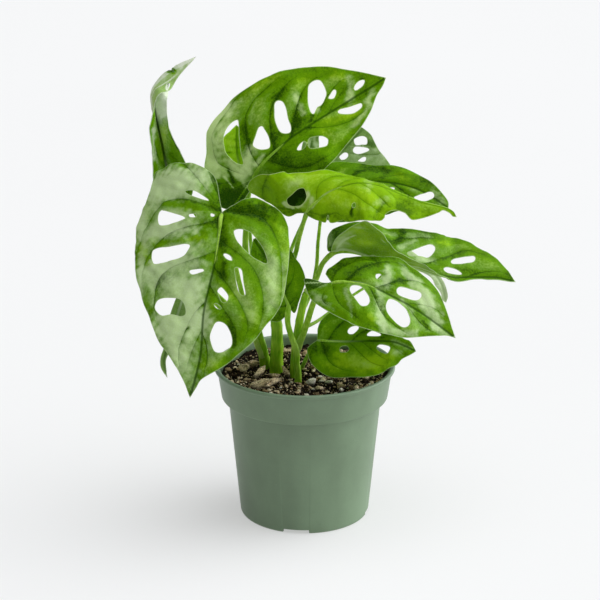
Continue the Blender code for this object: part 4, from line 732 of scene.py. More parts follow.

# %% [markdown]
# ## Strokes of colour
# No leaf is the same green all over. The wax catches the sky in pale, silvery patches, painted here as a
# reflection, and beside them the leaf is painted deep where it lies in shade and nearly yellow where the
# light falls on it. Noise alone puts such patches anywhere, so here they are drawn as a painter would: each
# stroke is a soft line from one place on the flat leaf to another, with a width, and it says how much paler
# it makes the leaf with painted sheen and how much brighter with painted light, a negative amount meaning
# painted shade. A small wobble gives it an uneven border. The ends and widths were marked by hand on the
# photograph too, and turned into places on the flat leaf by another small program. How pale and how bright
# a stroke is was chosen.

# %% Strokes
# Each stroke: its two ends (along, across), its width, more painted sheen, more painted light (below zero,
# painted shade).
STROKES = {
    "leaf_front_left": [(-12, 36, 79, 13, 17.1, 0.55, 0.2), (4, 50, 54, 40, 3.4, 0.6, 0.3),
        (-16, 44, -20, 12, 8.6, 0.7, 0.05), (-2, 34, -1, 11, 2.3, -0.5, -0.1),
        (14, 42, 12, 14, 3.4, 0.5, 0), (23, 37, 16, 8, 2.3, -0.4, 0.1), (41, 39, 32, 8, 4, 0.5, 0),
        (24, 46, 39, 40, 2.9, -0.5, 0.6), (48, 35, 44, 4, 4.6, 0.2, -0.45),
        (48, 9, 63, 4, 5.1, 0.45, -0.1), (70, 24, 64, 2, 6.3, 0.65, 0),
        (72, 21, 69, 7, 1.4, -0.3, -0.4), (86, 14, 100, 2, 7.4, 0.5, 0.25),
        (-2, -4, -4, -30, 6.9, -0.7, -0.8), (4, -30, 16, -37, 4.6, -0.1, 0.3),
        (26, -34, 46, -40, 6.9, 0.42, 0.4), (5, 0, 35, -6, 2.9, -0.6, -0.9),
        (22, -14, 38, -30, 4.6, 0.1, 0.25), (44, -16, 64, -34, 4.6, 0.25, 0.7),
        (66, -16, 76, -19, 2, -0.2, -0.7), (80, -14, 74, -32, 2.9, 0.35, 0.35),
        (88, -2, 87, -12, 3.4, 0, 0.5)],
    "leaf_top": [(9, -42, -12, -23, 8.6, 1, 0.25), (-18, -11, -18, 1, 7.4, -0.5, -0.55),
        (15, -38, 21, -39, 2.3, 0.4, 0.1), (33, -37, 44, -34, 4, 0, 0.6),
        (56, -26, 59, -23, 4, 0, 0.45), (75, -18, 78, -12, 3.4, 0.1, 0.7),
        (80, -11, 74, 0, 2.6, 0.55, 0), (37, -26, 43, -24, 3.4, -0.2, -0.6),
        (48, -18, 46, -8, 2, 0.55, 0), (54, -7, 55, -4, 1.7, 0.4, 0),
        (50, -4, 48, -2, 1.7, -0.4, -0.9), (30, -31, 20, -23, 2, 0.3, 0.1),
        (16, -23, 10, -12, 2.9, -0.3, -0.5), (12, -11, 0, -5, 3.4, 0.9, 0.1),
        (14, -2, 20, 0, 2, -0.2, -0.7), (27, -7, 44, -4, 4.6, -0.3, -0.8),
        (-1, -14, -6, -2, 3.4, 0.75, 0.2), (-5, -14, -9, -8, 1.4, -0.4, -1),
        (-10, -14, -14, -2, 0.7, 1, 0), (7, -3, 14, -3, 1.3, 0.8, 0),
        (20, 6, 42, 11, 7.4, -0.5, -0.45), (51, 5, 72, 8, 4, 0, 0.6), (46, 20, 59, 18, 3.4, 0, 0.3),
        (88, 2, 82, 6, 2, 0.6, 0), (68, 14, 82, 9, 2, 0.55, 0.1), (12, 13, 30, 20, 2.9, -0.3, -0.2),
        (-2, 24, 16, 29, 5.1, -0.8, -2.2)],
    "leaf_left_curled": [(95, 6, 82, 12, 8, 1.8, 0.4), (77, 10, 58, 6, 6.9, 1.8, 0.4),
        (84, -1, 74, 8, 1.4, -2.4, -1.6), (66, 6, 56, 7, 0.9, -0.8, -0.6),
        (44, 16, 26, 8, 2.9, -0.3, -0.5), (46, -6, 29, -10, 2.3, 0.7, 0.5),
        (44, 5, 26, -3, 2.3, 0, 0.9)],
    "leaf_back_right": [(39, 6, 40, 11, 1.7, -0.6, -1), (29, 3, 40, 18, 4.6, 0.4, 0),
        (18, -20, 19, -13, 3.4, 0.8, 0.3), (20, -20, 16, -14, 0.9, -0.6, -0.8),
        (22, -17, 18, -12, 0.9, -0.6, -0.8)],
    "leaf_middle_bright": [(17, -16, 49, -40, 8, 0, 0.6), (-10, -34, -2, -20, 4.6, -0.1, -0.05),
        (-5, -20, -8, -16, 1.3, -0.2, -0.5), (-12, -11, 0, -1, 2.3, -0.3, -0.7),
        (-6, -12, -4, -8, 1.4, 2, 0), (0, -6, 10, -7, 1.4, 2, 0), (10, -3, 6, 0, 1.4, 0.7, 0),
        (49, -36, 44, 4, 2.9, 0.45, 0.1), (48, 15, 56, 8, 2.9, 0.35, -0.1),
        (53, 18, 56, 11, 1.5, 0, -0.8), (66, 9, 72, 10, 1.7, -0.3, -1), (73, 2, 86, 3, 3.4, 0.3, 0.1),
        (28, 18, 31, 14, 1, -0.5, -1.7), (7, 8, 10, 10, 1, -0.5, -1.3),
        (4, -18, 12, -16, 2.3, 0.3, 0.2), (18, 0, 47, 13, 7.4, -0.1, 0.55),
        (46, 9, 54, 4, 3.4, -0.2, 0.2)],
    "leaf_middle_dark": [(28, -10, 42, -7, 4, -0.2, -0.45), (50, -6, 56, -2, 4, 0, 0.65),
        (61, 2, 66, -3, 2, 0.3, 0.1), (72, -3, 81, -1, 2.9, 0.7, 0), (61, -8, 75, -6, 2, 0, -0.3)],
    "leaf_right_long": [(1, -16, 0, -6, 2.9, 0.7, 0), (6, -14, 4, -4, 2, 0.2, -0.3),
        (6, 2, 13, 24, 1.5, 0.55, 0.1), (12, 16, 34, 8, 10.3, -0.8, 0),
        (17, 11, 20, 12, 2.9, -0.1, 0.4), (18, 23, 26, 16, 4.6, -0.3, -0.45),
        (8, 4, 10, 16, 3.4, 0.5, 0), (32, -20, 39, -20, 2.3, 0.4, 0),
        (34, -16, 35, -14, 1.5, -0.3, -0.6), (44, -22, 40, -12, 1.7, -0.3, -0.65),
        (42, -10, 52, -18, 2.3, 0.55, 0), (48, -22, 62, -24, 2.9, 0.35, 0),
        (69, -22, 80, -26, 2.9, -0.3, 0.55), (54, -6, 66, -8, 2.3, 0.55, 0),
        (91, -18, 104, -8, 4, 0, 0.2), (80, -5, 92, -4, 2, -0.2, -0.7)],
    "leaf_right_low": [(2, -7, 22, -15, 5.7, -0.8, -0.35), (28, -17, 32, -5, 3.1, 0.65, 0),
        (39, -22, 46, -12, 2.9, 0.5, 0), (36, -16, 39, -12, 2.3, -0.5, -0.6),
        (48, -16, 58, -10, 3.4, 0.6, 0), (56, -6, 69, -2, 4.6, 0.85, 0.1),
        (-14, 0, -4, 2, 2.9, 0.55, 0), (-10, 7, 4, 18, 2.3, 0.45, 0), (-1, 6, 7, 15, 3.4, -0.3, 0.1),
        (9, 6, 16, 22, 1.6, 0.4, 0), (22, 14, 31, 24, 2.9, -0.2, -0.35), (28, 18, 30, 20, 1.6, 0, 0.6),
        (28, 0, 37, 20, 3.1, 0.6, 0), (40, 22, 60, 14, 2.6, 0.65, 0), (54, 5, 65, 5, 2.9, 0.25, 0),
        (61, 4, 64, 6, 1.5, -0.2, -0.6), (68, 3, 79, 2, 2.6, 0.55, 0), (44, 0, 52, 2, 1.5, 0.5, 0)],
    "leaf_right_lowest": [(4, -10, 16, -6, 4.6, -0.2, -0.1), (0, 6, 14, 6, 5.7, -0.3, -0.35),
        (14, 14, 42, 12, 6.9, 0, 0.9), (30, 14, 32, 14, 2.3, 0.1, 0.5), (45, 0, 56, 0, 2, 0.6, 0),
        (48, 6, 52, 4, 1.7, 0.55, 0)],
    "leaf_centre_small": [(9, 0, 31, 0, 8, -0.4, -0.3), (21, 10, 10, 8, 2.9, 0, 0.35)],
    "leaf_inner_back": [(35, -6, 24, 2, 5.1, 0.25, 1), (36, -6, 34, 2, 0.9, 0, -1),
        (31, -6, 30, 2, 0.9, 0, -1), (28, -6, 26, 3, 0.9, 0, -1)],
    "leaf_far_right": [(22, 1, 42, 0, 4.6, 0.5, 0.2)],
}


def stroke_paint(strokes, u, v, seed):
    """How much painted sheen (pale) and painted light (bright, painted shade where below zero) each point
    gets: the sum over the strokes of their values times a bell curve of the distance from the stroke's
    line."""
    wobble = ripples(u, v, 5, seed + 5), ripples(u, v, 5, seed + 6)
    pale, bright = np.zeros(len(u)), np.zeros(len(u))
    for u0, v0, u1, v1, width, more_sheen, more_light in strokes:
        x, y = u + 0.35 * width * wobble[0] - u0, v + 0.35 * width * wobble[1] - v0
        way = np.array([u1 - u0, v1 - v0], float)
        part = np.clip((x * way[0] + y * way[1]) / max(way @ way, 1e-6), 0, 1)
        bell = np.exp(-(np.hypot(x - part * way[0], y - part * way[1]) / width) ** 2)
        pale += more_sheen * bell
        bright += more_light * bell
    return pale, bright


print("strokes:", sum(len(strokes) for strokes in STROKES.values()))

# %% [markdown]
# ## The relief of the upper side
# The blade swells between the veins, like a quilt, and the midrib lies in a groove. Older
# leaves are also puckered, and the margin waves a little and turns down at the very edge.
# All of this is a height over the smooth blade, added along its normal. The blade is then
# given its thickness: thin at the margin, thicker under the midrib and the veins, which
# stand out on the underside.

# %% Blade as a closed shell
def point_normals(points, faces):
    """Normals at the points: the sum of the normals of the triangles around each."""
    corner = points[faces]
    normal = np.cross(corner[:, 1] - corner[:, 0], corner[:, 2] - corner[:, 0])
    total = np.zeros_like(points)
    for k in range(3):
        np.add.at(total, faces[:, k], normal)
    return unit(total)


def border(faces):
    """The edges that belong to one triangle only, in that triangle's direction."""
    edges = np.vstack([faces[:, [0, 1]], faces[:, [1, 2]], faces[:, [2, 0]]])
    key = np.sort(edges, axis=1)
    _, first, count = np.unique(key, axis=0, return_index=True, return_counts=True)
    return edges[first[count == 1]]


def blade_relief(leaf, flat, place, gap, part, edge, seed):
    """Height over the smooth blade: a parabola between each two veins, puckers of two
    sizes, the midrib's groove, the margin's waves and its turned-down edge."""
    u, v = flat.T
    length = leaf["length"]
    between = place % 1
    dome = 1 - (2 * between - 1) ** 2
    swell = leaf["swell"] * np.minimum(gap / 11, 1.15) * step_up(part, 0.0, 0.16)
    height = swell * dome * (1 - 0.75 * step_up(part, 0.6, 1.0))
    height += leaf["pucker"] * ripples(u, v, 15, seed) * step_up(np.abs(v), 1, 8)
    height += 0.35 * leaf["pucker"] * ripples(u, v, 6.5, seed + 50) * step_up(np.abs(v), 1, 6)
    fade = 1 - 0.55 * np.clip(u / length, 0, 1)
    groove = np.exp(-(v / 1.3) ** 2) * step_up(u, -1, 4) * (1 - step_up(u, length - 8, length))
    height -= 0.65 * groove * fade
    wave = np.sin(u / leaf["wave_length"] * 2 * np.pi + np.sign(v) * 1.3 + seed)
    height += leaf["wave"] * wave * step_up(part, 0.55, 1.0) * step_up(length - u, 2, 22)
    return height - 0.3 * np.exp(-edge / 1.1)


def blade_shape(leaf, step, seed):
    """The whole blade as a closed shell, upper side in slot 0 and underside in slot 1."""
    flat, faces, edge, holes = divide_blade(leaf, step)
    place, gap, part = vein_field(leaf, flat, holes)
    smooth = blade_points(leaf, flat[:, 0], flat[:, 1])
    height = blade_relief(leaf, flat, place, gap, part, edge, seed)
    upper = smooth + point_normals(smooth, faces) * height[:, None]
    normal = point_normals(upper, faces)
    u, v = flat.T
    from_vein = np.abs((place + 0.5) % 1 - 0.5) * gap
    ribs = 0.25 * np.exp(-(from_vein / 0.55) ** 2) * (1 - step_up(part, 0.5, 0.95))
    midrib = 0.9 * np.exp(-(v / 1.2) ** 2) * step_up(u, -2, 2)
    ribs += midrib * (1 - 0.9 * np.clip(u / leaf["length"], 0, 1))
    thick = 0.28 + 0.22 * step_up(edge, 0, 3) + ribs * step_up(edge, 0.3, 3)
    lower = upper - normal * thick[:, None]
    count = len(flat)
    a, b = border(faces).T
    rim = np.vstack([np.stack([b, a, a + count], -1), np.stack([b, a + count, b + count], -1)])
    # pale carries the painted sheen, bright the painted light, painted shade where it is below zero.
    pale, bright = stroke_paint(leaf["strokes"], u, v, seed)
    paint = dict(along=u, across=v, vein=place, gap=gap, part=part, edge=edge, pale=pale, bright=bright)
    paint = {name: np.tile(value, 2) for name, value in paint.items()}
    shape = Shape(np.vstack([upper, lower]), np.vstack([faces, faces[:, ::-1] + count, rim]), **paint)
    shape.slots = np.repeat([0, 1, 0], [len(faces), len(faces), len(rim)])
    return shape


print("the test leaf's margin has", len(border(faces)), "edges")

# %% [markdown]
# ## Stalks and stems
# A leaf stalk is a round rod with a shallow channel on its upper side. It is widest at
# its foot, where it clasps the stem, and has a small knee just under the blade. From there
# it runs on under the blade as the midrib's keel. The rod is a ring of points carried
# along a curve. Each ring's frame is the last one's, turned no more than the curve turns,
# so the rod isn't twisted.

# %% Rods along a curve
def carried_frames(route):
    """A forward, a side and an up vector at each point of a route, with the least twist."""
    forward = unit(np.gradient(route, axis=0))
    side = np.cross((0.0, -1.0, 0.2), forward[0])
    sides = []
    for way in forward:
        side = unit(side - way * (side @ way))
        sides.append(side)
    sides = np.array(sides)
    return forward, sides, np.cross(forward, sides)


def rod_shape(route, radius, around=16, channel=0.0, slot=0, seed=0, rough=0.02):
    """Rings of points round a route, closed by a point at each end. A ring's radius is
    less by the channel's share where the ring looks up, and uneven by the rough share."""
    forward, side, up = carried_frames(route)
    turn = np.linspace(0, 2 * np.pi, around, endpoint=False)
    run = run_length(route)
    dip = 1 - channel * np.exp(-((turn - np.pi / 2) / 0.55) ** 2)
    uneven = 1 + rough * ripples(run[:, None], 3 * np.cos(turn)[None, :], 5, seed)
    reach = np.asarray(radius)[:, None] * dip[None, :] * uneven
    ring = (route[:, None] + side[:, None] * (np.cos(turn) * reach)[..., None]
            + up[:, None] * (np.sin(turn) * reach)[..., None])
    points = np.vstack([ring.reshape(-1, 3), route[:1], route[-1:]])
    here = np.append(np.repeat(run, around), [0, run[-1]])
    return Shape(points, tube_faces(len(route), around), slot, rod=here / run[-1],
                 facet=np.append(np.tile(np.sin(turn), len(route)), [0, 0]))


def rounded_ends(radius, run, foot=True):
    """Draws the radius in over its own length at each end, as a quarter circle does. A
    stalk keeps its foot, which clasps the stem."""
    radius = np.array(radius, float)
    if foot:
        radius *= np.sqrt(1 - (1 - np.clip(run / radius[0], 0.02, 1)) ** 2)
    return radius * np.sqrt(1 - (1 - np.clip((run[-1] - run) / radius[-1], 0.02, 1)) ** 2)


def stalk_shape(leaf, seed):
    """A leaf's stalk and keel: one rod from its foot to two fifths of the midrib. The keel
    lies under four stations on the blade, sunk along its normal."""
    length, thick = leaf["length"], leaf["petiole_radius"]
    stations = np.array([2.0, 0.12 * length, 0.26 * length, 0.42 * length])
    sunk = np.array([1.3, 1.3, 1.1, 0.9])[:, None]

    def on_blade(ahead, across):
        return blade_points(leaf, stations + ahead, np.full(len(stations), float(across)))

    keel = on_blade(0, 0)
    normal = unit(np.cross(on_blade(2, 0) - keel, on_blade(0, 2) - on_blade(0, -2)))
    keel = keel + normal * sunk
    route = even_points(np.vstack([leaf["petiole"][:-1], keel]), 1.5)
    run = run_length(route)
    total = run[-1]
    knee = total - run_length(even_points(keel, 1.5))[-1]
    radius = thick * (1.12 - 0.30 * np.clip(run / knee, 0, 1))
    radius += thick * 0.35 * np.exp(-(run / 9) ** 2)
    radius += thick * 0.16 * np.exp(-((run - knee + 4) / 4) ** 2)
    radius *= 1 - 0.72 * step_up(run, knee - 1, total - 1)
    return rod_shape(route, rounded_ends(radius, run, foot=False), channel=0.22, slot=2, seed=seed)


test_rod = rod_shape(np.array([[0, 0, 0], [0, 0, 1], [0, 0, 2.0]]), [1, 1, 1])
print("a rod of 3 rings:", len(test_rod.faces), "triangles")

# %% [markdown]
# ## Writing a material like a sum
# A material is a network of small nodes. Drawn by hand it is hard to read, so here the
# arithmetic is written as Python sums: a wire carries a value, and adding or multiplying
# wires adds the Math nodes. Colours go through Mix nodes, because a Math node would turn
# them grey.

# %% Wires and finishes
class Wire:
    """A value that flows through a material's nodes. Arithmetic on it adds Math nodes."""

    def __init__(self, nodes, socket):
        self.nodes = nodes
        self.socket = socket

    def math(self, operation, *values):
        return self.nodes.node("ShaderNodeMath", {"operation": operation}, dict(enumerate(values)))

    def __add__(self, other):
        return self.math("ADD", self, other)

    __radd__ = __add__

    def __sub__(self, other):
        return self.math("SUBTRACT", self, other)

    def __rsub__(self, other):
        return self.math("SUBTRACT", other, self)

    def __mul__(self, other):
        return self.math("MULTIPLY", self, other)

    __rmul__ = __mul__

    def __pow__(self, other):
        return self.math("POWER", self, other)

    def __abs__(self):
        return self.math("ABSOLUTE", self)

    def fraction(self):
        return self.math("FRACT", self)

    def most(self, other):
        return self.math("MAXIMUM", self, other)

    def rise(self, low, high):
        """Goes smoothly from 0 at low to 1 at high; low may be the larger one."""
        return self.nodes.node("ShaderNodeMapRange", {"interpolation_type": "SMOOTHSTEP"},
                                {"Value": self, "From Min": low, "From Max": high})


class Nodes:
    """A node tree, and the one way to add a node to it."""

    def __init__(self, tree):
        self.tree = tree

    def node(self, kind, settings=None, inputs=None, output=0):
        """Adds a node: its settings first, then a value or a wire for each socket."""
        made = self.tree.nodes.new(kind)
        for label, value in (settings or {}).items():
            setattr(made, label, value)
        for label, value in (inputs or {}).items():
            self.feed(made.inputs[label], value)
        return Wire(self, made.outputs[output])

    def feed(self, socket, value):
        if isinstance(value, Wire):
            self.tree.links.new(value.socket, socket)
        else:
            socket.default_value = value

    def mix(self, share, first, second):
        return self.node("ShaderNodeMix", {"data_type": "RGBA"}, {0: share, 6: first, 7: second}, 2)

    def paint(self, name):
        return self.node("ShaderNodeAttribute", {"attribute_name": name}, output=2)

    def place(self):
        """Object coordinates in mm."""
        spot = self.node("ShaderNodeTexCoord", output=3)
        return self.node("ShaderNodeVectorMath", {"operation": "SCALE"}, {0: spot, "Scale": 1000.0})

    def join(self, x, y, z=0.0):
        return self.node("ShaderNodeCombineXYZ", None, {0: x, 1: y, 2: z})

    def stretch(self, vector, factors):
        return self.node("ShaderNodeVectorMath", {"operation": "MULTIPLY"}, {0: vector, 1: factors})

    def noise(self, vector, size, detail=3.0, rough=0.5):
        """Clouds whose lumps are about size mm across."""
        return self.node("ShaderNodeTexNoise", None, {"Vector": vector, "Scale": 1.0 / size,
                                                      "Detail": detail, "Roughness": rough})

    def net(self, vector, size):
        """The distance from the border between cells of about size mm."""
        return self.node("ShaderNodeTexVoronoi", {"feature": "DISTANCE_TO_EDGE"},
                         {"Vector": vector, "Scale": 1.0 / size})


class Finish(Nodes):
    """A material with its Principled shader."""

    def __init__(self, name, constants):
        self.material = bpy.data.materials.new(name)
        self.material.use_nodes = True
        super().__init__(self.material.node_tree)
        self.shader = self.tree.nodes["Principled BSDF"]
        for label, value in constants.items():
            self.shader.inputs[label].default_value = value

    def close(self, colour, roughness, height=None, depth=0.1):
        """Feeds the shader; height 0 to 1 stands for depth in mm."""
        self.feed(self.shader.inputs["Base Color"], colour)
        self.feed(self.shader.inputs["Roughness"], roughness)
        if height is not None:
            bump = self.node("ShaderNodeBump", None,
                             {"Strength": 1.0, "Distance": depth * MM, "Height": height})
            self.feed(self.shader.inputs["Normal"], bump)
        return self.material


def tint(red, green, blue):
    """A colour as seen on a screen, 0 to 255, as the linear light that a shader takes."""
    c = np.array([red, green, blue]) / 255
    linear = np.where(c <= 0.04045, c / 12.92, ((c + 0.055) / 1.055) ** 2.4)
    return (*(float(x) for x in linear), 1.0)


print("mid leaf green as linear light:", np.round(tint(85, 135, 15), 3))

# %% [markdown]
# ## The leaf's two sides
# What makes a leaf look alive is that no two places have the same green. Light and shade on the relief are
# painted in: the tissue is painted lighter where it swells between two veins and on one side of each vein,
# and painted darker on the flank of each vein. Over that lie clouds of three sizes, a net of tiny veins,
# painted shade in the grooves of the side veins and of the midrib, and a thin painted highlight on the rim.
# The silvery sheen of the wax is a painted reflection, mixed in as a colour, because a true reflection
# would sit somewhere else in each view. So the shader's own gloss is kept low. The underside is paler and
# more matt, and its veins stand out light.

# %% Leaf finishes
# The colour of the shadow inside a curl or a fold.
SHADOW_GREEN = (24, 48, 0)


class BladeFinish(Finish):
    """A leaf's material, with the numbers painted on the leaf as wires. The flat leaf is
    the ground of its clouds, and the shift keeps two leaves from sharing them."""

    def __init__(self, name, constants, shift):
        super().__init__(name, constants)
        for label in ("along", "across", "vein", "gap", "part", "edge", "pale", "bright"):
            setattr(self, label, self.paint(label))
        self.flat = self.join(self.along, self.across, float(shift))
        self.from_vein = abs((self.vein + 0.5).fraction() - 0.5) * self.gap


def upper_finish(name, tones, seed, matt):
    """Waxy upper side. One sum, the light, picks a green from deep to bright: painted light and shade on
    the swell, the veins and the strokes, with clouds. Another, the painted sheen, mixes in a pale painted
    reflection. Both add clouds, the swell and the strokes."""
    deep, middle, bright, pale = (tint(*tone) for tone in tones)
    f = BladeFinish(name, {"IOR": 1.5, "Specular IOR Level": 0.035, "Coat Weight": 0.01,
                           "Coat Roughness": 0.25}, seed * 31)
    # The swell between two veins and the side of each vein, for the painted light on the relief.
    wide = f.gap.rise(3.0, 10.0)
    swing = (f.vein.fraction() * 2 - 1) * wide
    dome = wide - swing * swing
    clouds = f.noise(f.flat, 16, 2)
    blotches = f.noise(f.flat, 5.0, 3, 0.6)
    grit = f.noise(f.flat, 1.3, 3, 0.7)
    fine = f.noise(f.flat, 0.5, 2)
    cells = f.net(f.flat, 1.5).rise(0.0, 0.12)
    line = f.from_vein.rise(0.45, 0.1) * f.part.rise(1.0, 0.72) * f.gap.rise(2.0, 8.0)
    flank = f.from_vein.rise(1.8, 0.2) * wide

    # Painted light and shade: the swells, one side of each vein and the bright strokes are lit, the vein
    # flanks and the dark strokes shaded, over clouds of the leaf's own tone.
    light = (clouds - 0.5) * 0.8 + (blotches - 0.5) * 0.65 + (grit - 0.5) * 0.85
    light = light + dome * 0.34 - flank * 0.10 + f.bright * 0.62 + swing * 0.10 + 0.50
    # Painted reflection: the wax's sheen, from the pale strokes and strongest on the lit sides of the
    # swells.
    painted_sheen = f.pale * 1.2 + (blotches - 0.5) * 0.30 + (grit - 0.5) * 0.6
    painted_sheen = (painted_sheen + (dome - 0.45) * 0.4 + swing * 0.22).rise(0.02, 1.2)
    colour = f.mix(light.rise(0.10, 0.70), deep, middle)
    colour = f.mix(light.rise(0.70, 1.32) * 0.85, colour, bright)
    colour = f.mix(painted_sheen * 0.88, colour, pale)
    colour = f.mix((1 - cells) * 0.14, colour, bright)
    # Painted shade in the grooves of the side veins, weaker under the sheen.
    colour = f.mix(line * (0.38 - painted_sheen * 0.22), colour, deep)
    colour = f.mix(f.bright.rise(-0.8, -1.6) * 0.85, colour, tint(*SHADOW_GREEN))
    # Painted shade along the midrib's groove beyond its foot, and a pale foot.
    midrib = abs(f.across).rise(0.95, 0.25) * f.along.rise(-1.0, 2.0)
    colour = f.mix(midrib * f.along.rise(4.0, 34.0) * 0.75, colour, deep)
    colour = f.mix(midrib * f.along.rise(30.0, 4.0) * 0.7, colour, pale)
    # Painted highlight along the rim.
    colour = f.mix(f.edge.rise(0.5, 0.1) * 0.6, colour, pale)

    roughness = (blotches - 0.5) * 0.2 + (fine - 0.5) * 0.15 - painted_sheen * 0.06 + matt
    height = cells * 0.3 + grit * 0.25 + fine * 0.10 - line * 0.6
    return f.close(colour, roughness, height, 0.14)


def under_finish(name, tones, seed):
    """Matt underside: the strokes' painted light, shade and sheen and the clouds pick its green, a painted
    highlight lines the rim, and light veins stand out.
    """
    deep, middle, bright, pale = (tint(*tone) for tone in tones)
    f = BladeFinish(name, {"IOR": 1.4, "Specular IOR Level": 0.04}, seed * 17)
    clouds = f.noise(f.flat, 14)
    cells = f.net(f.flat, 1.4).rise(0.0, 0.16)
    line = f.from_vein.rise(0.8, 0.25) * f.part.rise(1.05, 0.7) * f.gap.rise(2.0, 6.0)
    line = line.most(abs(f.across).rise(1.3, 0.6) * f.along.rise(-1.0, 1.0))
    # Painted light and shade from the strokes over clouds, the painted sheen, and painted shade where the
    # strokes are darkest.
    colour = f.mix((clouds + f.bright * 0.5).rise(0.1, 0.9), middle, bright)
    colour = f.mix(f.pale.rise(-0.4, 1.2) * 0.8, colour, pale)
    colour = f.mix(f.bright.rise(-0.3, -1.4) * 0.8, colour, deep)
    colour = f.mix((1 - cells) * 0.1, colour, pale)
    colour = f.mix(line * f.pale.rise(-0.7, -0.1) * 0.6, colour, pale)
    # Painted highlight along the rim.
    colour = f.mix(f.edge.rise(0.5, 0.1) * 0.4, colour, pale)
    return f.close(colour, clouds * 0.15 + 0.48, line * 0.5 - cells * 0.25, 0.15)


def stalk_finish(name, dark, light, foot):
    """Fleshy green rod, streaked along its length, with a paler foot and painted shade in its channel."""
    f = Finish(name, {"IOR": 1.42, "Specular IOR Level": 0.2, "Coat Weight": 0.05,
                      "Coat Roughness": 0.3})
    spot = f.place()
    run, facet = f.paint("rod"), f.paint("facet")
    streaks = f.noise(f.stretch(spot, (1.0, 1.0, 0.12)), 0.9, 3, 0.6)
    patches = f.noise(spot, 8, 2)
    fine = f.noise(spot, 0.35, 2)
    colour = f.mix((streaks * 0.7 + patches * 0.5).rise(0.4, 0.85), tint(*dark), tint(*light))
    # Painted shade in the channel along the rod's upper side.
    colour = f.mix(facet.rise(0.75, 1.0) * 0.35, colour, tint(*dark))
    colour = f.mix(run.rise(0.16, 0.0) * 0.55, colour, tint(*foot))
    return f.close(colour, streaks * 0.2 + 0.34, streaks * 0.6 + fine * 0.3, 0.12)


stalk_green = stalk_finish("stalk_green", (116, 170, 16), (182, 218, 90), (196, 218, 130))
stem_green = stalk_finish("stem_green_fleshy", (116, 174, 8), (176, 218, 56), (196, 222, 104))
print("materials so far:", len(bpy.data.materials))

# %% [markdown]
# ## Every leaf in its own green
# Leaves of one plant differ by age and by how the light falls on them. The youngest is bright yellow-green
# and nearly flat, the older ones are deeper, more puckered and carry more painted silvery sheen. How the
# light falls is painted into the tones too: a leaf that gets little light has lighter tones. So each leaf
# names four tones, how much it swells between its veins, how puckered it is, how its margin waves and how
# matt it is.

# %% Leaf characters
# Four tones each, as seen on a screen: deep, middle and bright, which the painted light and shade and the
# clouds choose between, and pale, the colour of the painted sheen.
DEEP_GREEN = [(32, 68, 0), (88, 136, 2), (140, 184, 22), (190, 212, 158)]
FRESH_GREEN = [(34, 72, 0), (90, 140, 2), (144, 188, 18), (174, 202, 136)]
# Painted light: lighter tones and a paler painted sheen for the top leaf, which lies in weaker light.
RAISED_GREEN = [(36, 76, 0), (96, 148, 2), (152, 196, 22), (212, 236, 164)]
YOUNG_GREEN = [(74, 116, 0), (122, 170, 4), (154, 198, 20), (198, 218, 150)]
PALE_GREEN = [(84, 118, 50), (128, 162, 84), (164, 194, 126), (200, 216, 180)]
# Painted light: tones lifted for a leaf that the light hardly reaches.
PAINTED_LIT_GREEN = [(150, 176, 120), (182, 202, 152), (202, 216, 178), (222, 230, 206)]
# Painted light: lighter tones and a whiter painted sheen for the curled leaf, which faces away from the
# light.
WHITE_GREEN = [(34, 72, 0), (96, 148, 2), (156, 198, 40), (232, 238, 220)]
# Painted light: bright tones for the leaf seen through the top leaf's hole, which lies in its shade.
LIT_GREEN = [(92, 136, 6), (146, 192, 22), (176, 212, 48), (204, 224, 150)]
# Each leaf: its tones, swell, pucker and wave in mm, the wave's length, and how matt it is.
CHARACTER = {
    "leaf_front_left": (DEEP_GREEN, 1.0, 0.75, 0.8, 46, 0.46),
    "leaf_top": (RAISED_GREEN, 0.8, 0.7, 0.7, 40, 0.47),
    "leaf_left_curled": (WHITE_GREEN, 0.4, 0.35, 0.5, 30, 0.42),
    "leaf_back_right": (PALE_GREEN, 0.5, 0.3, 0.4, 26, 0.45),
    "leaf_middle_bright": (YOUNG_GREEN, 0.4, 0.45, 1.0, 30, 0.46),
    "leaf_middle_dark": (FRESH_GREEN, 0.6, 0.4, 0.6, 26, 0.45),
    "leaf_right_long": (DEEP_GREEN, 0.7, 0.6, 0.7, 38, 0.40),
    "leaf_right_low": (DEEP_GREEN, 0.7, 0.7, 0.6, 34, 0.42),
    "leaf_right_lowest": (FRESH_GREEN, 0.5, 0.45, 0.4, 30, 0.46),
    "leaf_far_right": (PAINTED_LIT_GREEN, 0.4, 0.3, 0.4, 22, 0.45),
    "leaf_centre_small": (FRESH_GREEN, 0.3, 0.3, 0.3, 24, 0.48),
    "leaf_inner_back": (LIT_GREEN, 0.5, 0.3, 0.3, 20, 0.46),
    "leaf_left_hidden": (PALE_GREEN, 0.2, 0.2, 0.3, 22, 0.45),
}
for seed, (name, leaf) in enumerate(LEAVES.items()):
    tones, leaf["swell"], leaf["pucker"], leaf["wave"], leaf["wave_length"], matt = CHARACTER[name]
    leaf["strokes"] = STROKES.get(name, [])
    shape = blade_shape(leaf, LATTICE, seed) + stalk_shape(leaf, seed)
    upper = upper_finish(name + "_upper", tones, seed, matt)
    under = under_finish(name + "_under", tones, seed)
    make_piece(name + "_living", shape, [upper, under, stalk_green], name)

# %% [markdown]
# ## The stems
# Three short fleshy stems stand in the soil, and the leaf stalks grow from them. A stem
# has low rings where leaves have been, and it narrows upwards.

# %% Stems
# Where the rings sit, as shares of a stem's length.
RING_PLACES = np.array([16, 27, 40]) / 56

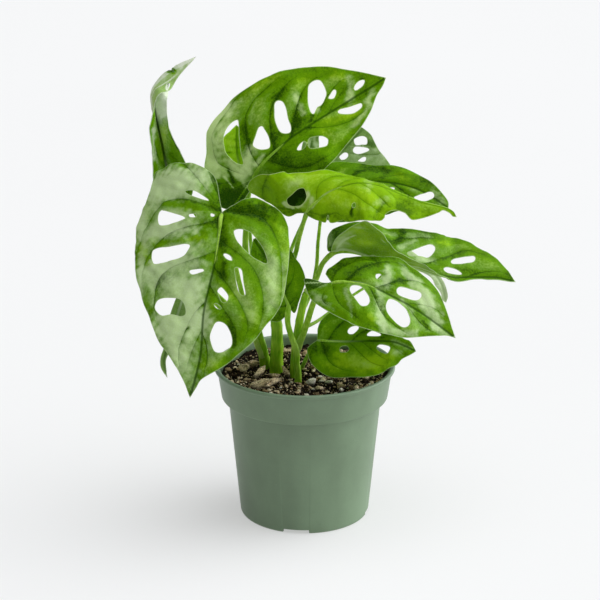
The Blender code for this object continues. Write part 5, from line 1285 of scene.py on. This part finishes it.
for seed, (name, (radius, points)) in enumerate(STEMS.items()):
    route = even_points(points, 1.0)
    run = run_length(route)
    share = run / run[-1]
    thick = radius * (1.08 - 0.36 * share)
    rings = np.exp(-((run[:, None] - RING_PLACES * run[-1]) / 1.1) ** 2).sum(axis=1)
    thick = rounded_ends(thick * (1 + 0.07 * rings), run)
    rod = rod_shape(route, thick, around=28, channel=0.12, seed=seed + 60, rough=0.035)
    make_piece(name + "_fleshy", rod, [stem_green], name)

# %% [markdown]
# ## Turning an outline
# The pot and the body of the soil are surfaces of revolution, so a half outline is all
# that has to be drawn. It starts and ends on the axis. Sharp corners are drawn in the
# table and rounded by a small parabola, because moulded plastic has such small radii and
# they catch the light.

# %% Surfaces of revolution
def round_corners(profile, most, count=5):
    """Replaces each inner corner by a short parabola that starts and ends on its two
    edges, no further from it than most and 0.45 of the shorter edge."""
    p = np.asarray(profile, float)
    before, corner, after = p[:-2], p[1:-1], p[2:]
    edges = [np.linalg.norm(other - corner, axis=1) for other in (before, after)]
    reach = np.minimum(np.minimum(*edges) * 0.45, most)[:, None]
    start = corner + unit(before - corner) * reach
    end = corner + unit(after - corner) * reach
    t = np.linspace(0, 1, count)[None, :, None]
    arcs = start[:, None] * (1 - t) ** 2 + corner[:, None] * 2 * t * (1 - t) + end[:, None] * t ** 2
    return np.vstack([p[:1], arcs.reshape(-1, 2), p[-1:]])


def lathe_shape(profile, turns, lift):
    """Turns a half outline about the Z axis. Its ends lie on the axis and close the shape.
    The lift moves heights, given radius, height and turn. The outline runs outwards on the
    upper side and back on the underside, so the tube's faces are turned round."""
    radius, height = np.asarray(profile, float).T
    r, a = radius[1:-1, None], np.asarray(turns)[None, :]
    z = lift(r, height[1:-1, None], a)
    points = np.stack([r * np.cos(a), r * np.sin(a), z], -1).reshape(-1, 3)
    points = np.vstack([points, [0, 0, height[0]], [0, 0, height[-1]]])
    return Shape(points, tube_faces(len(r), len(turns))[:, ::-1])


def volume(shape):
    """Signed volume in cubic mm: a sixth of the sum of each triangle's triple product."""
    a, b, c = np.moveaxis(shape.points[shape.faces], 1, 0)
    return float(np.sum(a * np.cross(b, c)) / 6)


print("a corner rounded:", len(round_corners([(0, 0), (1, 0), (1, 1)], 0.3)), "points")

# %% [markdown]
# ## The pot
# A nursery pot is moulded in one piece: a tapered wall, a stiff band and a lip. Its foot
# is lifted in four places, which are the notches that let water run out. The drain holes
# in the floor lie between them. They are cut at the end with a Boolean, because a round
# hole doesn't follow the rings of a turned surface.

# %% Pot
# The half outline: radius and height.
POT_PROFILE = [
    (0, 3.0), (37.08, 3.0), (37.98, 4.2), (44.3, 73.3), (45.1, 74.6), (48.1, 75.3), (50.6, 92.0),
    (51.5, 93.2), (52.2, 93.5), (53.4, 93.5), (54.0, 92.9), (54.0, 91.8), (53.5, 91.3), (52.2, 91.1),
    (49.7, 74.4), (49.2, 73.8), (48.4, 73.7), (46.3, 73.7), (45.7, 73.1), (38.9, 1.0), (38.1, 0),
    (36.2, 0), (35.9, 1.2), (34.8, 1.2), (0, 1.2),
]
FOOT_RADIUS = 34.9
NOTCHES = np.radians(-98 + 90 * np.arange(4))
NOTCH_HALF = math.asin(7.85 / 38)
NOTCH_HEIGHT = 2.5
DRAINS = [(26 * math.cos(turn), 26 * math.sin(turn)) for turn in NOTCHES + np.pi / 4]
DRAIN_RADIUS = 4.5


def notch_lift(radius, height, turn):
    """Lifts the foot inside a notch."""
    away = np.abs((turn[..., None] - NOTCHES + np.pi) % (2 * np.pi) - np.pi).min(axis=-1)
    low = (away < NOTCH_HALF) & (radius > FOOT_RADIUS) & (height < NOTCH_HEIGHT)
    return np.where(low, NOTCH_HEIGHT, height)


edges = np.concatenate([NOTCHES - NOTCH_HALF, NOTCHES + NOTCH_HALF]) % (2 * np.pi)
pot_turns = np.concatenate([np.linspace(0, 2 * np.pi, 192, endpoint=False), edges - 0.004, edges + 0.004])
pot_shape = lathe_shape(round_corners(POT_PROFILE, 1.2), np.unique(pot_turns), notch_lift)
print("pot volume:", round(volume(pot_shape) / 1000, 1), "cubic cm,", len(pot_shape.faces), "triangles")


def pot_finish():
    """Matt moulded plastic: sage green with faint clouds that run down the wall, a lip paler along its top,
    pale specks and a fine darker grain."""
    f = Finish("pot_sage_plastic", {"IOR": 1.46})
    spot = f.place()
    height = f.node("ShaderNodeSeparateXYZ", None, {0: spot}, 2)
    clouds = f.noise(spot, 26)
    grain = f.noise(spot, 0.45, 3, 0.6)
    flow = f.noise(f.stretch(spot, (0.5, 0.5, 0.2)), 6)
    specks = f.noise(spot, 1.4, 2).rise(0.70, 0.78)
    colour = f.mix((clouds * 0.6 + flow * 0.4).rise(0.3, 0.7), tint(104, 126, 98), tint(116, 140, 110))
    # Paler along the top of the lip.
    colour = f.mix(height.rise(92.6, 93.4) * 0.35, colour, tint(142, 164, 142))
    colour = f.mix(specks * 0.14, colour, tint(170, 184, 166))
    colour = f.mix(grain.rise(0.5, 0.36) * 0.12, colour, tint(66, 84, 62))
    return f.close(colour, clouds * 0.10 + grain * 0.08 + 0.38, grain * 0.5 + flow * 0.15, 0.04)


def cut_drains(piece):
    """Cuts the round drain holes in the floor with a Boolean, and settles it."""
    cutters = []
    for x, y in DRAINS:
        bpy.ops.mesh.primitive_cylinder_add(vertices=40, radius=DRAIN_RADIUS * MM, depth=12 * MM,
                                            location=(x * MM, y * MM, 0.0))
        cutters.append(bpy.context.object)
        cut = piece.modifiers.new("drain", "BOOLEAN")
        cut.object = cutters[-1]
        cut.solver = "EXACT"
    mesh = bpy.data.meshes.new_from_object(piece.evaluated_get(bpy.context.evaluated_depsgraph_get()))
    piece.modifiers.clear()
    piece.data = mesh
    for cutter in cutters:
        bpy.data.objects.remove(cutter, do_unlink=True)
    mesh.set_sharp_from_angle(angle=math.radians(50))


cut_drains(make_piece("pot_moulded", pot_shape, [pot_finish()], "pot"))

# %% [markdown]
# ## The body of the soil
# Potting mix fills the pot to just under the lip. Its body is a turned surface too: close
# rings whose height is a sum of waves make the uneven top, and the sides follow the pot.

# %% Soil body
# The mean height of the uneven top, and the flat height of its rings before they're lifted.
SOIL_LEVEL = 86.8
FLAT_TOP = 87.0


def soil_height(x, y):
    """The top's height: the solid's three crossing waves, a low mound behind the stems and
    clods of three sizes."""
    waves = (0.9 * np.sin(x / 9 + 1.3) * np.cos(y / 11) + 0.7 * np.sin((x + y) / 6 + 0.4)
             + 0.5 * np.cos((x - 2 * y) / 8))
    mound = 5.0 * np.exp(-((x + 12) ** 2 + (y - 20) ** 2) / 13.0 ** 2)
    clods = sum(high * ripples(x, y, size, seed)
                for high, size, seed in ((0.55, 5.5, 1), (0.4, 2.6, 2), (0.25, 1.4, 3)))
    return SOIL_LEVEL + mound + waves + clods


def soil_lift(radius, height, turn):
    """Gives the disc's rings their uneven height and leaves the sides alone."""
    top = soil_height(radius * np.cos(turn), radius * np.sin(turn))
    return np.where(height >= FLAT_TOP, top, height)


def earth_finish():
    """Damp peat: nearly black, with brown fibres."""
    f = Finish("soil_peat_damp", {"IOR": 1.4, "Specular IOR Level": 0.1})
    spot = f.place()
    lumps = f.noise(spot, 3.0, 5, 0.65)
    fibres = f.noise(f.stretch(spot, (1.0, 0.35, 1.0)), 0.7, 4, 0.7)
    colour = f.mix(lumps.rise(0.42, 0.72), tint(14, 10, 6), tint(46, 35, 24))
    colour = f.mix(fibres.rise(0.60, 0.74) * 0.5, colour, tint(112, 92, 66))
    return f.close(colour, lumps * 0.2 + 0.75, lumps * 0.6 + fibres * 0.4, 0.5)


rings = [(radius, FLAT_TOP) for radius in np.linspace(0, 49.5, 70)]
soil_profile = rings + [(48.0, 76.0), (44.4, 74.4), (44.1, 73.0), (37.7, 4.6), (36.8, 3.4), (0, 3.4)]
soil_shape = lathe_shape(soil_profile, np.linspace(0, 2 * np.pi, 260, endpoint=False), soil_lift)
make_piece("soil_body", soil_shape, [earth_finish()], "soil", sharp=70)

# %% [markdown]
# ## Crumbs
# On the peat lie thousands of crumbs, from dark peat to pale wood. One small ball of
# triangles is copied for all of them, and each copy is roughened, hewn by planes of its
# own, stretched and turned, all in one array. That gives the broken facets of real
# crumbs with a few dozen faces each. A crumb is painted dark below, where it lies in its
# own shade.

# %% Crumbs
# Each kind: how many, least and most size, flatness, how the tones gather, seeds of its
# places and of its forms, and the ball's level.
CRUMBS = [(240, 0.9, 1.9, 0.75, 0.9, 21, 31, 2), (1100, 0.5, 0.9, 0.8, 0.9, 22, 32, 1),
          (2800, 0.28, 0.5, 0.8, 1.0, 23, 33, 1)]
CRUMB_REACH = 48.0


def unit_ball(level):
    """The points and triangles of a ball of radius 1."""
    ball = bmesh.new()
    bmesh.ops.create_icosphere(ball, subdivisions=level, radius=1.0)
    points = np.array([vertex.co for vertex in ball.verts])
    faces = np.array([[vertex.index for vertex in face.verts] for face in ball.faces])
    ball.free()
    return points, faces


def hew(bodies, planes, least, draw):
    """Cuts flat faces on many bodies at once: what lies past a plane is pressed onto it.
    Each body gets its own planes, least to 0.95 from its middle."""
    for _ in range(planes):
        way = unit(draw.normal(0, 1, (len(bodies), 1, 3)))
        past = np.sum(bodies * way, -1, keepdims=True) - draw.uniform(least, 0.95, (len(bodies), 1, 1))
        bodies = bodies - np.maximum(past, 0) * way
    return bodies


def turned(x, y, angle):
    """Two coordinates turned by an angle about the third."""
    return x * np.cos(angle) - y * np.sin(angle), x * np.sin(angle) + y * np.cos(angle)


def grain_shape(places, sizes, flat, tones, seed, level):
    """Many rough grains: copies of one ball, each hewn, with its own three sizes, its own
    turn and its own random roughness."""
    base, faces = unit_ball(level)
    draw, count, sizes = np.random.default_rng(seed), len(places), np.asarray(sizes)[:, None]
    stretch = np.stack([draw.uniform(0.8, 1.6, count), draw.uniform(0.6, 1.0, count),
                        flat * draw.uniform(0.7, 1.2, count)], -1)
    rough = draw.uniform(0.86, 1.14, (count, len(base), 1))
    body = hew(base[None] * rough, 5, 0.45, draw) * stretch[:, None] * sizes[..., None]
    turn, tip = draw.uniform(0, 2 * np.pi, (count, 1)), draw.normal(0, 0.4, (count, 1))
    x, y, z = np.moveaxis(body, -1, 0)
    x, z = turned(x, z, -tip)
    x, y = turned(x, y, turn)
    points = np.stack([x, y, z], -1) + places[:, None]
    all_faces = faces[None] + (np.arange(count) * len(base))[:, None, None]
    # low grows towards each grain's underside, where the finishes paint shade.
    return Shape(points.reshape(-1, 3), all_faces.reshape(-1, 3),
                 tone=np.repeat(tones, len(base)), low=np.clip(0.35 - z / sizes, 0, 1).ravel())


def scatter(sizes, seed):
    """Random places on the soil, evenly over the disc, each grain partly sunk."""
    draw = np.random.default_rng(seed)
    r = np.minimum(CRUMB_REACH * np.sqrt(draw.uniform(0, 1, len(sizes))), CRUMB_REACH - sizes)
    a = draw.uniform(0, 2 * np.pi, len(sizes))
    x, y = r * np.cos(a), r * np.sin(a)
    return np.stack([x, y, soil_height(x, y) + 0.35 * sizes], -1)


def crumb_finish():
    """Crumbs from dark peat to pale wood, by the tone that each one carries."""
    f = Finish("soil_crumbs_mixed", {"IOR": 1.4, "Specular IOR Level": 0.1})
    tone = f.paint("tone")
    grain = f.noise(f.place(), 0.6, 4, 0.65)
    colour = f.mix(tone.rise(0.15, 0.6), tint(44, 32, 20), tint(190, 162, 122))
    colour = f.mix(tone.rise(0.5, 0.95), colour, tint(250, 232, 198))
    colour = f.mix(grain.rise(0.62, 0.42) * 0.45, colour, tint(30, 22, 15))
    # Painted shade on each crumb's underside.
    colour = f.mix(f.paint("low").rise(0.1, 0.7) * 0.92, colour, tint(9, 7, 4))
    return f.close(colour, grain * 0.2 + 0.7, grain, 0.25)


draw = np.random.default_rng(11)
crumb_sizes = [draw.uniform(least, most, count) for count, least, most, *_ in CRUMBS]
crumbs = sum(
    grain_shape(scatter(sizes, place_seed), sizes, flat, draw.uniform(0, 1, count) ** power, seed, level)
    for sizes, (count, _, _, flat, power, place_seed, seed, level) in zip(crumb_sizes, CRUMBS))
make_piece("soil_crumbs", crumbs, [crumb_finish()], "soil", sharp=60)

# %% [markdown]
# ## Bark and perlite
# A few things on top of the soil are large enough to be known one by one: tan chips of
# bark, a splinter or two leaning by the stems, and white grains of perlite, most of them
# near the front. A chip is a ball that is squared by a power and hewn by a dozen planes,
# so that it looks broken off, then pulled long and roughened along its grain.

# %% Chips
# Each chip: its middle, length, width, thickness, turn and tilt in degrees, and its tone.
BARK_CHIPS = [
    ((-22, -19, 88.6), 20, 9.5, 5.5, 4, 5, 1.0), ((-27, -5, 90.2), 13.5, 4, 3.6, 59, 18, 0.9),
    ((-11.5, -6.5, 90.3), 11, 3.4, 3.2, 125, 26, 0.45), ((-17, -8, 88.6), 6, 4.5, 4, 30, 0, 0.35),
    ((-36, 5, 88.8), 8, 6, 5, 80, 0, 0.8), ((-31, 13, 88.6), 7, 5, 5, 20, 0, 0.6),
    ((26, 20, 88.2), 13, 6, 4, 70, 5, 0.6), ((-10, 34, 88.2), 14, 6, 5, 155, 4, 0.6),
    ((21, -23, 88.2), 7, 3.6, 3, 150, 6, 0.8), ((9, -27, 88.3), 6, 4, 3.2, 170, 8, 0.75),
]
# Each grain of perlite: where it lies, and its size.
PERLITE = [(4, -17, 2.6), (14, -19, 1.7), (21, -30, 2.0), (-47, -9, 1.6), (10, -14, 1.3), (26, -26, 1.5),
           (1, -36, 1.4), (-2, -41, 1.6), (8, -41, 1.2), (18, -36, 1.3), (-14, -24, 1.0), (30, -34, 1.5),
           (38, -20, 1.4), (-24, 30, 1.6), (12, 30, 1.5), (33, 24, 1.4), (-40, 12, 1.2), (20, 8, 1.3),
           (9, -8, 1.2), (-8, -18, 0.9), (41, 6, 1.3), (-20, -38, 1.0), (36, -30, 1.1), (5, -27, 1.1)]


def chip_shape(centre, length, width, thick, turn, tilt, tone, seed):
    """One chip: a ball whose coordinates are raised to the power 0.7 with their sign kept,
    which squares it, hewn by planes, then roughened along its grain."""
    ball, faces = unit_ball(5)
    draw = np.random.default_rng(seed + 90)
    body = hew((np.sign(ball) * np.abs(ball) ** 0.7)[None], 12, 0.5, draw)[0]
    x, y, z = (body * np.array([length, width, thick]) / 2).T
    strips = ripples(x * 0.45, y * 2.2 + z * 2.2, 2.4, seed)
    pits = ripples(x * 2 + z, y * 2 - z, 1.5, seed + 9)
    rough = 1 + 0.16 * strips + 0.12 * pits
    y, z = y * rough * (1 - 0.3 * x / length), z * rough
    x, z = turned(x, z, np.radians(tilt))
    x, y = turned(x, y, np.radians(turn))
    # low grows towards the chip's underside, where the bark finish paints shade.
    low = np.clip(0.5 - z / thick * 1.6, 0, 1)
    return Shape(np.stack([x, y, z], -1) + centre, faces, tone=tone, low=low)


def bark_finish():
    """Dry bark: tan, with dark cracks and a pale bloom, rough all over."""
    f = Finish("bark_tan", {"IOR": 1.4, "Specular IOR Level": 0.1})
    spot = f.place()
    tone = f.paint("tone")
    strips = f.noise(f.stretch(spot, (0.4, 1.0, 1.0)), 1.3, 5, 0.65)
    grain = f.noise(spot, 1.1, 5, 0.75)
    colour = f.mix(tone, tint(160, 136, 102), tint(236, 214, 176))
    colour = f.mix(strips.rise(0.52, 0.36) * 0.7, colour, tint(58, 46, 32))
    colour = f.mix(grain.rise(0.52, 0.64) * 0.6, colour, tint(252, 240, 212))
    colour = f.mix(grain.rise(0.47, 0.36) * 0.75, colour, tint(44, 34, 23))
    # Painted shade on the chip's underside.
    colour = f.mix(f.paint("low").rise(0.3, 1.0) * 0.85, colour, tint(9, 7, 4))
    return f.close(colour, grain * 0.15 + 0.75, strips * 0.5 + grain * 0.6, 0.7)


def perlite_finish():
    """Puffed mineral grains: chalky white with grey pits."""
    f = Finish("perlite_white", {"IOR": 1.45})
    pits = f.noise(f.place(), 0.6, 4, 0.7)
    colour = f.mix(pits.rise(0.58, 0.36) * 0.8, tint(236, 234, 216), tint(140, 124, 98))
    # Painted shade on each grain's underside.
    colour = f.mix(f.paint("low").rise(0.0, 0.7) * 0.85, colour, tint(14, 11, 7))
    return f.close(colour, 0.8, pits, 0.35)


chips = sum(chip_shape(*chip, seed) for seed, chip in enumerate(BARK_CHIPS))
make_piece("bark_chips", chips, [bark_finish()], "soil", sharp=70)
x, y, sizes = np.array(PERLITE, float).T
places = np.stack([x, y, soil_height(x, y) + sizes * 0.75], -1)
perlite = grain_shape(places, sizes, 0.8, np.linspace(0.6, 1, len(sizes)), 41, 3)
make_piece("perlite_grains", perlite, [perlite_finish()], "soil", sharp=80)

# %% [markdown]
# ## A studio
# The photograph has a white table and a big soft light. A large pale floor fills the
# view, and it glows a little, so that it stays nearly white as a lit sweep does. The main
# light is a broad bright patch of the surroundings, low at the right and a little behind.
# It grazes the leaves and gives the faint shadow at the left. A narrower patch overhead
# lights the tops, and the even surroundings fill the shadows.

# %% Floor and light
FLOOR_RADIUS = 40.0
FLOOR_CORNERS = 96
# Each bright patch: the way to its middle, and the power that narrows it.
OVERHEAD = (0.12, -0.05, 1.0), 10.0
LOW_RIGHT = (0.95, 0.12, 0.26), 4.0


def plain_floor():
    """A wide pale floor, made as a fan of triangles round its centre."""
    turn = np.linspace(0, 2 * np.pi, FLOOR_CORNERS, endpoint=False)
    rim = np.stack([np.cos(turn), np.sin(turn), 0 * turn], -1) * FLOOR_RADIUS
    here = 1 + np.arange(FLOOR_CORNERS)
    fan = np.stack([0 * here, here, np.roll(here, -1)], -1)
    mesh = bpy.data.meshes.new("floor")
    mesh.from_pydata(np.vstack([[0, 0, 0], rim]).tolist(), [], fan.tolist())
    floor = bpy.data.objects.new("floor", mesh)
    bpy.context.scene.collection.objects.link(floor)
    f = Finish("floor_pale", {"Emission Strength": 1.0})
    shade = f.noise(f.place(), 900, 2)
    glow = f.mix(shade, (0.44, 0.44, 0.44, 1), (0.46, 0.46, 0.46, 1))
    f.feed(f.shader.inputs["Emission Color"], glow)
    pale = f.mix(shade, (0.40, 0.401, 0.402, 1), (0.42, 0.421, 0.422, 1))
    floor.data.materials.append(f.close(pale, 0.8))
    floor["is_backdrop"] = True


def studio_room(base, top, right):
    """Even light from all around, with a bright patch overhead and a broader one low at
    the right. Each patch is a power of the cosine between its middle and the way out."""
    world = bpy.data.worlds.new("studio")
    world.use_nodes = True
    room = Nodes(world.node_tree)
    way = room.node("ShaderNodeTexCoord", output=0)

    def patch(middle, power):
        towards = room.node("ShaderNodeVectorMath", {"operation": "DOT_PRODUCT"},
                            {0: way, 1: Vector(middle).normalized()}, 1)
        return towards.most(0.0) ** power

    strength = patch(*OVERHEAD) * top + patch(*LOW_RIGHT) * right + base
    back = world.node_tree.nodes["Background"]
    back.inputs["Color"].default_value = (0.97, 0.985, 1.0, 1)
    room.feed(back.inputs["Strength"], strength)
    bpy.context.scene.world = world


plain_floor()
studio_room(base=0.12, top=3.5, right=4.2)
bpy.context.scene.view_settings.view_transform = "Standard"
print("floor and light are set")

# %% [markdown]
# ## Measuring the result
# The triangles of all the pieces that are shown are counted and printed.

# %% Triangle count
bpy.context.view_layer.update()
total = sum(len(o.data.polygons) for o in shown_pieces())
print("triangles shown:", total)
